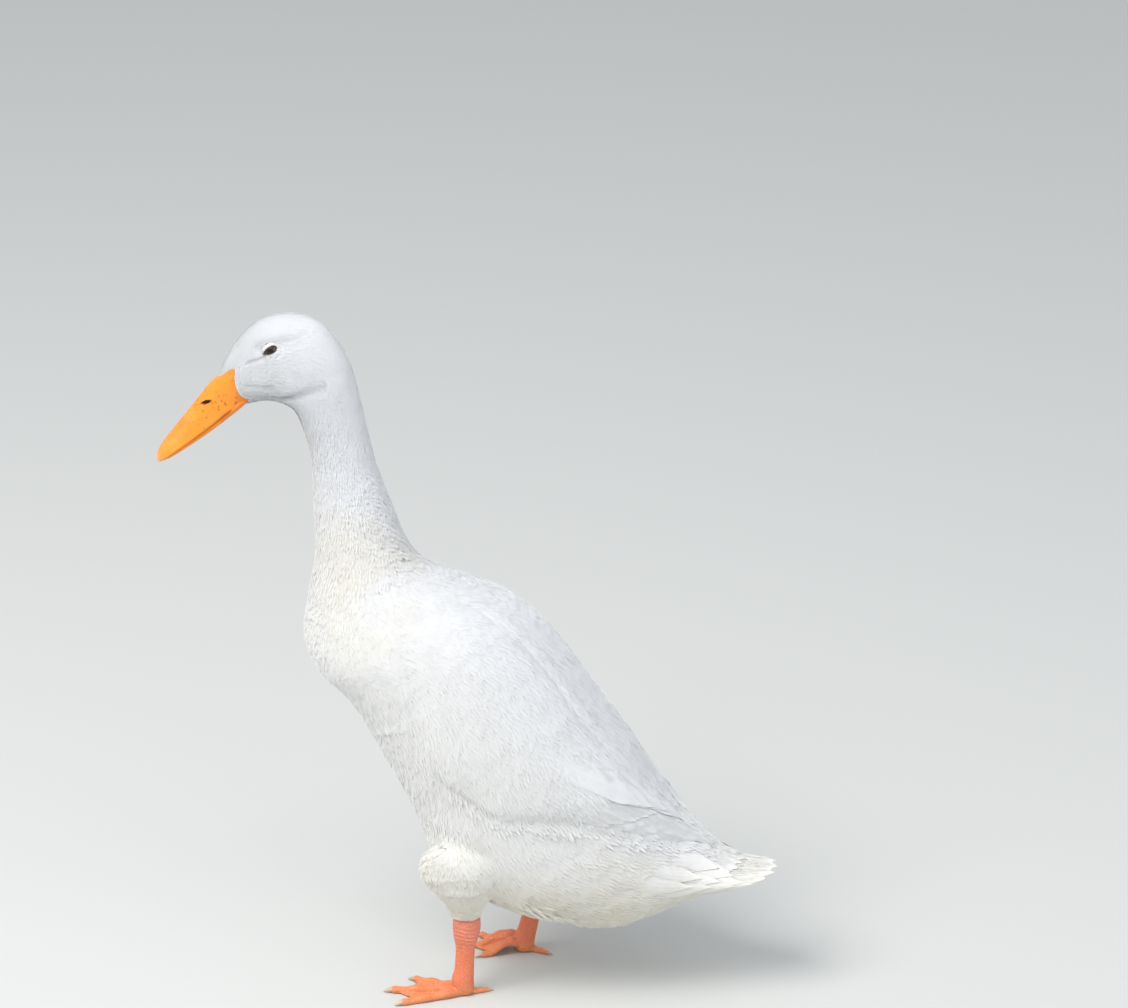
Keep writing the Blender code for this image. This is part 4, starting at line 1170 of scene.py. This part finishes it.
# Feathers of one side of the tail: angle, place of root and tip
TAIL_FEATHERS = [
    (5.0, 23.7, 26.65), (19.0, 23.6, 26.30), (36.0, 23.6, 26.5), (54.0, 23.5, 25.9),
    (72.0, 23.4, 26.1), (90.0, 23.4, 25.6), (112.0, 23.6, 25.1), (136.0, 23.6, 24.7),
    (160.0, 23.6, 24.6),
]
# Shorter feathers that lie over their roots
TAIL_COVERTS = [
    (2.0, 23.2, 24.95), (14.0, 23.1, 24.8), (28.0, 23.2, 24.75), (44.0, 23.1, 24.55),
    (61.0, 23.1, 24.5), (80.0, 23.0, 24.3), (100.0, 23.0, 24.2), (122.0, 22.9, 24.0),
]
# Feathers over the sides of the tail, whose lower edges hang over the belly
TAIL_SIDES = [
    (84.0, 22.9, 25.6), (80.0, 22.2, 24.9), (77.0, 21.4, 24.1), (75.0, 20.6, 23.3),
    (68.0, 22.5, 25.2), (63.0, 21.7, 24.4), (60.0, 20.9, 23.6), (48.0, 22.2, 24.6),
    (44.0, 21.4, 23.9),
]


def make_tail(settings):
    """Lay the tail feathers, their coverts and the feathers of the sides as one piece."""
    draw = np.random.default_rng(settings.seed * 1000 + 12)
    rows = []
    for side in (1, -1):
        for angle, root, tip in TAIL_FEATHERS:
            rows.append((root, side * angle, tip, side * angle * 0.94, 14.0, -1.2, 1.0))
        for angle, root, tip in TAIL_SIDES:
            rows.append((root - 0.9, side * angle, tip, side * (angle + 4.0), 18.0, -1.6, 2.0))
        for angle, root, tip in TAIL_COVERTS:
            rows.append((root, side * angle, tip, side * angle, 15.0, -1.3, 1.0))
    table = np.array(rows).T
    count = table.shape[1]
    tip_place = table[2] + draw.uniform(-0.12, 0.12, count)
    tip_angle = table[3] + draw.uniform(-3.5, 3.5, count)
    obj = lay_feathers("vanes_tail", body, TAIL_VANE, table[0:2], (tip_place, tip_angle),
                       table[4] * draw.uniform(0.93, 1.07, count), table[5:7], camber=0.05,
                       thick=0.28, tone=draw.uniform(0.60, 0.85, count))
    settle(obj, finish_of(make_vane_finish, settings))


def make_thigh_coat(side, word, settings):
    """Lay the small feathers of one thigh, pointing down to the ankle."""
    surface = thigh(side)
    tree = skin_tree()
    draw = np.random.default_rng(settings.seed * 1000 + 13)
    place, angle = scatter(surface, 0.1, 5.9, lambda place: 2.0, draw)
    keep = over_skin(surface(place, angle, np.zeros_like(place)), tree)[0] > -7.0
    place = place[keep]
    angle = angle[keep]
    count = len(place)
    length = np.interp(place, (1.5, 6.0), (11.0, 6.0)) * draw.uniform(0.85, 1.2, count)
    along_rate, round_rate = rates(surface, place, angle)
    turn = np.radians(draw.normal(0.0, 6.0, count))
    tip_place = np.minimum(place + length * np.cos(turn) / along_rate, 6.45)
    tip_angle = angle + length * np.sin(turn) / round_rate
    front = np.exp(-(((angle + 90.0 + 180.0) % 360.0 - 180.0) / 28.0) ** 2)
    high = draw.uniform(0.05, 0.75, count) * (1.0 + 2.0 * front * (place < 3.0))
    obj = lay_feathers("coat_thigh_" + word, surface, BODY_FEATHER, (place, angle),
                       (tip_place, tip_angle), length * 0.46, (np.full(count, -1.3), high),
                       camber=0.05, thick=0.10, tone=draw.uniform(0.75, 0.95, count), tree=tree)
    settle(obj, finish_of(make_plumage, settings))


# Rows of the lids: distance out from the opening, height over the eyeball, darkness
LID_ROWS = (
    (-0.10, -1.6, 1.0), (-0.06, -0.2, 1.0), (0.0, 0.14, 1.0), (0.3, 0.25, 0.85),
    (0.6, 0.28, 0.25), (1.0, 0.26, 0.0), (1.6, 0.22, 0.0), (2.4, 0.15, 0.0),
    (3.8, -1.5, 0.0),
)


def lid_shape(side):
    """Return points and triangles of the lids round one eye, down to the head's skin."""
    long_way, short_way, out_way = eye_axes(side)
    turns = np.linspace(0.0, math.tau, LID_POINTS, endpoint=False)
    rows = []
    for spread, height, _ in LID_ROWS:
        corner = 1.0 - EYE_CORNER * np.cos(turns) * math.exp(-spread / 1.5)
        flat = (long_way * ((EYE_LONG + spread) * np.cos(turns))[:, None]
                + short_way * ((EYE_SHORT + spread) * np.sin(turns) * corner)[:, None])
        depth = np.sqrt(np.maximum((EYE_RADIUS + height) ** 2 - (flat ** 2).sum(-1), 0.0))
        rows.append(eye_centre(side) + flat + out_way * depth[:, None])
    return np.array(rows).reshape(-1, 3) * MM, grid_faces(len(rows), LID_POINTS, True)


def thigh_shape(side, lift):
    """Return one thigh as a closed shape, grown by a lift."""
    place, angle = ring_grid(0.0, len(THIGH) - 1.0, 30, 48)
    return tube(thigh(side)(place, angle, np.full_like(place, lift)))


def bridge_shape(side):
    """Return hips and one thigh grown, fused and shrunk again, which fills their crease."""
    place, angle = ring_grid(BRIDGE_FIRST, BRIDGE_LAST, 90, 96)
    away = from_back(angle)
    low = smooth_step(75.0, 100.0, away)
    form = (body_form(place, angle) - wing_form(place, away)) * low
    ends = 2.0 - smooth_step(BRIDGE_FIRST, 17.0, place) - smooth_step(BRIDGE_LAST, 21.8, place)
    form = form - BRIDGE_DEPTH - BRIDGE_END_DEPTH * ends - BRIDGE_BACK_DEPTH * (1.0 - low)
    obj = make_solid("bridge", tube(trunk(place, angle, form + BRIDGE)),
                     thigh_shape(side, BRIDGE))
    remesh(obj, BRIDGE_VOXEL, 14)
    mesh = obj.data
    points, normals, corners = read_mesh(mesh)
    bpy.data.objects.remove(obj)
    bpy.data.meshes.remove(mesh)
    return points - normals * (BRIDGE + SKIN_DEPTH) * MM, corners


class DUCK_OT_skin(bpy.types.Operator):
    """Make the one skin under the feathers"""

    bl_idname = "duck.skin"
    bl_label = "Skin"

    def execute(self, context):
        settings = context.scene.duck_plumage
        place, angle = ring_grid(0.0, TRUNK_STOP, 250, 128)
        depth = np.interp(place, (0.0, 5.0, 10.0, 14.0), (-0.9, -1.1, -1.5, -2.0))
        points = body(place, angle, 0.0 * place).reshape(-1, 3)
        depth = depth - 1.6 * near_eye(points, 0.4).reshape(place.shape)
        shapes = [tube(body(place, angle, depth)), bridge_shape(1), bridge_shape(-1)]
        shapes += [thigh_shape(side, -SKIN_DEPTH) for side in (1, -1)]
        obj = make_solid("duck_skin", *shapes)
        remesh(obj, SKIN_VOXEL, 2)
        settle(obj, finish_of(make_skin_finish, settings),
               ("head", "neck", "torso", "tail", "wing_left", "wing_right",
                "thigh_left", "thigh_right"))
        return {"FINISHED"}


class DUCK_OT_coat(bpy.types.Operator):
    """Lay the small feathers over head, neck, body and thighs"""

    bl_idname = "duck.coat"
    bl_label = "Coat"

    def execute(self, context):
        settings = context.scene.duck_plumage
        for seed, (name, zone) in enumerate(COAT.items()):
            make_coat_zone(name, zone, settings, seed)
        for side, word in SIDES:
            make_thigh_coat(side, word, settings)
        return {"FINISHED"}


class DUCK_OT_wings(bpy.types.Operator):
    """Lay the large feathers of wings and tail"""

    bl_idname = "duck.wings"
    bl_label = "Wings and tail"

    def execute(self, context):
        settings = context.scene.duck_plumage
        for side, word in SIDES:
            make_wing(side, word, settings)
        make_tail(settings)
        return {"FINISHED"}


def bill_frame():
    """Return the bill's root, forward and up directions in millimetres."""
    row = TRUNK_ROWS[0]
    back = np.array((0.0, row[0], row[1]))
    belly = np.array((0.0, row[2], row[3]))
    upward = (back - belly) / np.linalg.norm(back - belly)
    forward = np.cross((1.0, 0.0, 0.0), upward)
    return (back + belly) / 2 + np.array((0.0, -MIDDLE_Y, 0.0)), forward, upward


def bill_points(across, forward_by, up_by):
    """Return points given in the bill's frame, in millimetres."""
    root, forward, upward = bill_frame()
    return (root + forward_by[..., None] * forward + up_by[..., None] * upward
            + np.stack([across, np.zeros_like(across), np.zeros_like(across)], -1))


# Where the bill's own sections take over from the lobes that rise to the feathers
BILL_BLEND = 9.0


def make_bill_upper(settings):
    """Make the upper bill with its lobes on the forehead, nostrils, edge and nail."""
    length = BILL_PROFILE[-1, 0]
    turns = np.linspace(0.0, 180.0, 73)
    head_rows = 14
    bill_rows = 84
    forward_by = length * np.sin(0.5 * np.pi * np.linspace(0.0, 1.0, bill_rows)) ** 0.9
    top, edge, _, width = np.moveaxis(read_table(BILL_PROFILE, forward_by), -1, 0)
    arch = 0.9 - 0.3 * forward_by / length
    turn = np.radians(turns)[None, :]
    rise = np.sin(turn) ** arch[:, None]
    ahead = np.broadcast_to(forward_by[:, None], rise.shape)
    across = width[:, None] * np.cos(turn)
    up_by = edge[:, None] + (top - edge)[:, None] * rise
    lip = np.exp(-((np.sin(turn) / 0.10) ** 2)) * smooth_step(4.0, 20.0, ahead)
    across = across * (1.0 + 0.035 * lip)
    dip = (np.abs(np.cos(turn)) - 0.62) / 0.22
    saddle = np.exp(-dip ** 2) * (1.0 - smooth_step(22.0, 46.0, ahead)) * 0.7
    up_by = up_by - saddle
    nail = np.exp(-((ahead - length + 3.0) / 3.6) ** 2 - (across / 4.6) ** 2)
    up_by = up_by + 0.55 * nail
    from_slit = up_by - NOSTRIL_UP - NOSTRIL_SLOPE * (ahead - NOSTRIL_FORWARD)
    hollow = ((ahead - NOSTRIL_FORWARD) / NOSTRIL_LONG) ** 2 + (from_slit / NOSTRIL_HIGH) ** 2
    pit = np.clip(1.0 - hollow, 0.0, 1.0) ** 0.4
    raised = np.exp(-((np.sqrt(hollow) - 1.25) / 0.28) ** 2) * 0.25
    across = across * (1.0 - (2.4 * pit - raised) / np.maximum(np.abs(across), 3.0))
    outer = bill_points(across, ahead, up_by)
    angle = (90.0 - turns) * 140.0 / 90.0
    base = feather_line(angle)
    start = int(np.searchsorted(forward_by, BILL_BLEND))
    shares = np.linspace(0.0, 1.0, head_rows, endpoint=False)
    line = trunk(base, angle, body_form(base, angle) - 0.55) / MM
    middle = trunk(np.zeros_like(base), angle, 0.2) / MM
    middle = (middle + line * 0.35 + outer[start] * 0.15) / 1.5
    on_head = [line * (1.0 - share) ** 2 + middle * 2.0 * share * (1.0 - share)
               + outer[start] * share ** 2 for share in shares]
    surface = np.concatenate([np.array(on_head), outer[start:]])
    inner_turns = np.linspace(0.92, -0.92, 17)[:, None]
    left = surface[:, :1]
    centre = (left + surface[:, -1:]) / 2
    vault = 1.6 * (1.0 - inner_turns ** 2)
    palate = centre + (left - centre) * inner_turns[::-1] + bill_frame()[2] * vault
    rings = np.concatenate([surface, palate], axis=1)
    obj = make_solid("bill_upper_horn", tube(rings * MM))
    along = np.zeros(rings.shape[:2])
    along[:head_rows] = (shares * forward_by[start] / length)[:, None]
    along[head_rows:] = (forward_by[start:] / length)[:, None]
    # The nostril pits and, more faintly, the palate inside the bill are marked for painted shade
    dark = np.zeros(rings.shape[:2])
    dark[head_rows:, :len(turns)] = np.clip(pit[start:] * 1.3, 0.0, 1.0)
    dark[:, len(turns):] = 0.35
    rim = np.zeros(rings.shape[:2])
    rim[:head_rows] = np.clip(1.0 - shares * 5.0, 0.0, 1.0)[:, None]
    add_ring_values(obj, along=along, hollow=dark, rim=rim)
    settle(obj, finish_of(make_bill_finish, settings), ("bill_upper",))


def make_bill_lower(settings):
    """Make the lower bill, a thin tray under the cutting edge."""
    length = BILL_PROFILE[-1, 0] - 2.5
    turns = np.radians(np.linspace(0.0, 180.0, 49))[None, :]
    forward_by = -5.0 + (length + 5.0) * np.sin(0.5 * np.pi * np.linspace(0.0, 1.0, 60)) ** 0.9
    table = read_table(BILL_PROFILE, np.maximum(forward_by + 1.5, 0.0))
    _, edge, under, width = np.moveaxis(table, -1, 0)
    width = width - 1.0 - 1.5 * (1.0 - smooth_step(-5.0, 4.0, forward_by))
    across = width[:, None] * np.cos(turns)
    rise = np.sin(turns) ** 0.55
    trough = 0.8 * np.exp(-(across / 3.5) ** 2) * smooth_step(0.0, 12.0, forward_by)[:, None]
    up_by = (edge - GAP)[:, None] - (edge - GAP - under)[:, None] * rise + trough
    outer = bill_points(across, np.broadcast_to(forward_by[:, None], across.shape), up_by)
    obj = make_solid("bill_lower_horn", tube(outer * MM))
    along = np.broadcast_to((np.maximum(forward_by, 0.0) / length)[:, None], across.shape)
    add_ring_values(obj, along=along, hollow=along * 0.0, rim=along * 0.0)
    settle(obj, finish_of(make_bill_finish, settings), ("bill_lower",))


class DUCK_OT_bill(bpy.types.Operator):
    """Make the upper and the lower bill"""

    bl_idname = "duck.bill"
    bl_label = "Bill"

    def execute(self, context):
        settings = context.scene.duck_bare
        make_bill_upper(settings)
        make_bill_lower(settings)
        return {"FINISHED"}


class DUCK_OT_eyes(bpy.types.Operator):
    """Make the eyeballs and the lids round them"""

    bl_idname = "duck.eyes"
    bl_label = "Eyes"

    def execute(self, context):
        settings = context.scene.duck_bare
        for side, word in SIDES:
            polar = np.radians(np.linspace(1.0, 179.0, 40))[:, None]
            turn = np.linspace(0.0, math.tau, 64, endpoint=False)[None, :]
            out = np.cos(polar) + 0.0 * turn
            ball = np.stack([side * out, np.sin(polar) * np.cos(turn),
                             np.sin(polar) * np.sin(turn)], -1) * EYE_RADIUS
            obj = make_solid("eyeball_" + word, tube((eye_centre(side) + ball) * MM))
            ring = np.sin(polar) * EYE_RADIUS / EYE_LONG + 0.0 * turn
            ring = np.where(np.cos(polar) > 0.0, ring, 2.0)
            add_value(obj, "ring", np.concatenate([ring.ravel(), [0.0, 2.0]]))
            settle(obj, finish_of(make_eye_finish, settings), ("eye_" + word,))
            lids = make_mesh("lids_" + word, *lid_shape(side))
            add_value(lids, "rim", np.repeat([row[2] for row in LID_ROWS], LID_POINTS))
            settle(lids, finish_of(make_lid_finish, settings))
        return {"FINISHED"}


def make_lid_finish(settings):
    """Make the finish of the lids: pale skin with a thin dark rim."""
    finish = Finish("lid_skin", 0.55)
    coordinates, _ = finish.place()
    cloud = finish.noise(coordinates, 900.0)
    pale = finish.mix(cloud, TINTS["lid"], TINTS["lid_cloud"])
    rim = finish.value("rim")
    finish.shade("Base Color", finish.mix(rim, pale, TINTS["lid_rim"]))
    finish.bump(cloud, 0.4, 0.0003)
    return finish.material


def toe_line(side, bearing, length, share):
    """Return points along a toe, in millimetres."""
    turn = math.radians(bearing)
    root = leg_axis(side, np.array(ANKLE_Z))
    ahead = np.array((side * math.sin(turn), -math.cos(turn), 0.0))
    bow = np.array((side * math.cos(turn), math.sin(turn), 0.0))
    reach = length
    rise = np.zeros_like(share)
    if side < 0 and bearing < 90.0:
        reach = length * RIGHT_TOE_REACH
        rise = RIGHT_TOE_ARCH * np.sin(np.pi * np.minimum(share / 0.84, 1.0)).clip(0.0) ** 1.6
    points = (np.array((root[0], root[1], 0.0)) + share[..., None] * reach * ahead
              + (np.sin(np.pi * share) * 1.2 * math.sin(turn))[..., None] * bow)
    points[..., 2] += rise
    return points, ahead, bow


def toe_radius(root_radius, share):
    """Return a toe's half thickness, with its knuckles."""
    return root_radius * (1.0 - 0.42 * share) * (1.0 + 0.10 * np.cos(6.0 * np.pi * share))


def toe_shape(side, bearing, length, root_radius):
    """Return one toe with ridges across its upper side."""
    share = np.linspace(0.0, 1.0, 90)
    line, _, bow = toe_line(side, bearing, length, share)
    radius = toe_radius(root_radius, share)
    ridge = 1.0 + 0.045 * np.abs(np.sin(share * length * math.pi / 2.6))
    roll = np.linspace(0.0, math.tau, 28, endpoint=False)
    height = radius * 1.75
    lift = np.maximum(0.0, height[:, None] * (0.5 + 0.54 * np.sin(roll)[None] * ridge[:, None]))
    rings = (line[:, None] + bow[None, None] * (radius[:, None] * np.cos(roll)[None])[..., None])
    rings[..., 2] += lift
    return tube(rings * MM)


def web_shape(side, first, second):
    """Return the web between two toes, hollowed along its front edge."""
    share, across = np.meshgrid(np.linspace(0.06, 0.95, 34), np.linspace(0.0, 1.0, 26),
                                indexing="ij")
    pull = 1.0 - 0.20 * share * np.sin(np.pi * across)
    start = toe_line(side, first[0], first[1], share * pull)[0]
    end = toe_line(side, second[0], second[1], share * pull)[0]
    middle = start + (end - start) * across[..., None]
    height = (4.2 + (1.9 - 4.2) * share) * (1.0 - 0.25 * np.sin(np.pi * across))
    height = height + 0.12 * np.sin(across * 26.0 + 3.0 * share) * np.sin(np.pi * across)
    upper = middle.copy()
    upper[..., 2] += height
    lower = middle.copy()
    lower[..., 2] += np.maximum(height - 1.15, 0.15)
    return tube(np.concatenate([upper, lower[:, ::-1]], axis=1) * MM)


def shank_shape(side):
    """Return ankle and shank, with shallow wrinkles at the ankle."""
    rows = np.linspace(0.0, len(SHANK) - 1.0, 130)
    table = smooth_rows(SHANK, rows)
    height = table[:, 0]
    centre = leg_axis(side, height)
    centre[:, 1] += table[:, 3]
    turn = np.linspace(0.0, math.tau, 56, endpoint=False)
    fold = 0.30 * np.sin(height[:, None] * 2.1 + 0.9 * np.sin(turn * 3.0))
    fold = fold * smooth_step(32.0, 42.0, height)[:, None]
    scute = 0.28 * np.abs(np.sin(height * math.pi / 2.5))[:, None]
    scute = scute * smooth_step(0.2, 0.8, -np.sin(turn))[None]
    grow = fold + scute
    rings = np.stack([centre[:, :1] + (table[:, 2:3] + grow) * np.cos(turn),
                      centre[:, 1:2] + (table[:, 1:2] + grow) * np.sin(turn),
                      np.broadcast_to(height[:, None], grow.shape)], -1)
    return tube(rings * MM)


class DUCK_OT_legs(bpy.types.Operator):
    """Make shanks, toes and webs"""

    bl_idname = "duck.legs"
    bl_label = "Legs"

    def execute(self, context):
        settings = context.scene.duck_bare
        for side, word in SIDES:
            shapes = [shank_shape(side)]
            shapes += [toe_shape(side, *toe) for toe in TOES.values()]
            shapes += [web_shape(side, TOES["middle"], TOES[toe]) for toe in ("inner", "outer")]
            obj = make_solid("leg_skin_" + word, *shapes)
            remesh(obj, LEG_VOXEL, 1)
            settle(obj, finish_of(make_leg_finish, settings),
                   ("shank_" + word, "foot_" + word))
        return {"FINISHED"}


class DUCK_OT_claws(bpy.types.Operator):
    """Make the claws"""

    bl_idname = "duck.claws"
    bl_label = "Claws"

    def execute(self, context):
        settings = context.scene.duck_bare
        for side, word in SIDES:
            shapes = []
            for bearing, length, root_radius in TOES.values():
                end, ahead, bow = toe_line(side, bearing, length, np.array(1.0))
                end_radius = toe_radius(root_radius, 1.0)
                claw = CLAW_LENGTH * root_radius / TOES["middle"][2]
                share = np.linspace(0.0, 1.0, 14)
                radius = end_radius * (0.72 - 0.62 * share ** 1.4)
                rise = end_radius * 0.95 + (0.9 - end_radius * 0.95) * share ** 1.5
                roll = np.linspace(0.0, math.tau, 16, endpoint=False)
                line = end + (claw * share - 0.4)[:, None] * ahead
                rings = line[:, None] + bow * (radius[:, None] * np.cos(roll))[..., None]
                rings[..., 2] += rise[:, None] + np.maximum(radius[:, None] * np.sin(roll),
                                                            0.35 - rise[:, None])
                shapes.append(tube(rings * MM))
            obj = make_solid("claws_" + word, *shapes)
            settle(obj, finish_of(make_claw_finish, settings),
                   tuple("claw_" + toe + "_" + word for toe in TOES))
        return {"FINISHED"}


class DUCK_OT_stage(bpy.types.Operator):
    """Set up floor, light and camera"""

    bl_idname = "duck.stage"
    bl_label = "Stage"

    def execute(self, context):
        settings = context.scene.duck_stage
        finish = Finish("pale_floor", 0.9)
        finish.shade("Base Color", tuple(settings.floor))
        bpy.ops.mesh.primitive_plane_add(size=12.0)
        floor = context.object
        floor.name = "floor"
        floor.data.materials.append(finish.material)
        world = bpy.data.worlds.new("studio")
        world.use_nodes = True
        background = world.node_tree.nodes["Background"]
        background.inputs["Color"].default_value = (0.93, 0.96, 1.0, 1.0)
        background.inputs["Strength"].default_value = settings.sky
        context.scene.world = world
        context.scene.view_settings.view_transform = "Standard"
        for name, place, size, power, tint in (
                ("key_light", (1.3, -1.2, 2.6), 1.8, settings.key, (1.0, 0.98, 0.95)),
                ("fill_light", (1.6, 1.6, 1.2), 2.0, settings.key * 0.16, (0.95, 0.97, 1.0))):
            data = bpy.data.lights.new(name, "AREA")
            data.energy = power
            data.size = size
            data.color = tint
            light = bpy.data.objects.new(name, data)
            light.location = place
            aim = Vector((0.0, 0.0, 0.2)) - Vector(place)
            light.rotation_euler = aim.to_track_quat("-Z", "Y").to_euler()
            context.scene.collection.objects.link(light)
        self.add_camera(context, settings)
        return {"FINISHED"}

    def add_camera(self, context, settings):
        """Place the camera where the photograph was taken from."""
        azimuth = settings.azimuth
        elevation = settings.elevation
        back = Vector((math.sin(azimuth) * math.cos(elevation),
                       -math.cos(azimuth) * math.cos(elevation), math.sin(elevation)))
        right = Vector((math.cos(azimuth), math.sin(azimuth), 0.0))
        upward = back.cross(right)
        aim = right * AIM_RIGHT + upward * AIM_UP + Vector((0.0, -MIDDLE_Y * MM, 0.0))
        data = bpy.data.cameras.new("camera")
        data.lens = settings.lens
        data.sensor_width = SENSOR_WIDTH
        camera = bpy.data.objects.new("camera", data)
        camera.location = aim + back * settings.distance
        camera.rotation_euler = (-back).to_track_quat("-Z", "Y").to_euler()
        context.scene.collection.objects.link(camera)
        context.scene.camera = camera


OPERATORS = (DUCK_OT_stage, DUCK_OT_skin, DUCK_OT_coat, DUCK_OT_wings, DUCK_OT_bill,
             DUCK_OT_eyes, DUCK_OT_legs, DUCK_OT_claws)


class DUCK_PT_panel(bpy.types.Panel):
    """Lists the settings and steps of the duck"""

    bl_label = "Duck"
    bl_idname = "DUCK_PT_panel"
    bl_space_type = "VIEW_3D"
    bl_region_type = "UI"
    bl_category = "Duck"

    def draw(self, context):
        for group in (context.scene.duck_plumage, context.scene.duck_bare,
                      context.scene.duck_stage):
            box = self.layout.box()
            for name in group.__annotations__:
                box.prop(group, name)
        for operator in OPERATORS:
            self.layout.operator(operator.bl_idname)


CLASSES = (PlumageSettings, BareSettings, StageSettings) + OPERATORS + (DUCK_PT_panel,)


def register():
    """Register the classes and the settings on the scene."""
    for cls in CLASSES:
        bpy.utils.register_class(cls)
    bpy.types.Scene.duck_plumage = PointerProperty(type=PlumageSettings)
    bpy.types.Scene.duck_bare = PointerProperty(type=BareSettings)
    bpy.types.Scene.duck_stage = PointerProperty(type=StageSettings)


def unregister():
    """Remove the settings and the classes."""
    del bpy.types.Scene.duck_stage
    del bpy.types.Scene.duck_bare
    del bpy.types.Scene.duck_plumage
    for cls in reversed(CLASSES):
        bpy.utils.unregister_class(cls)


def main():
    """Build the dressed duck."""
    register()
    for operator in OPERATORS:
        group, name = operator.bl_idname.split(".")
        getattr(getattr(bpy.ops, group), name)()


if __name__ == "__main__":
    main()
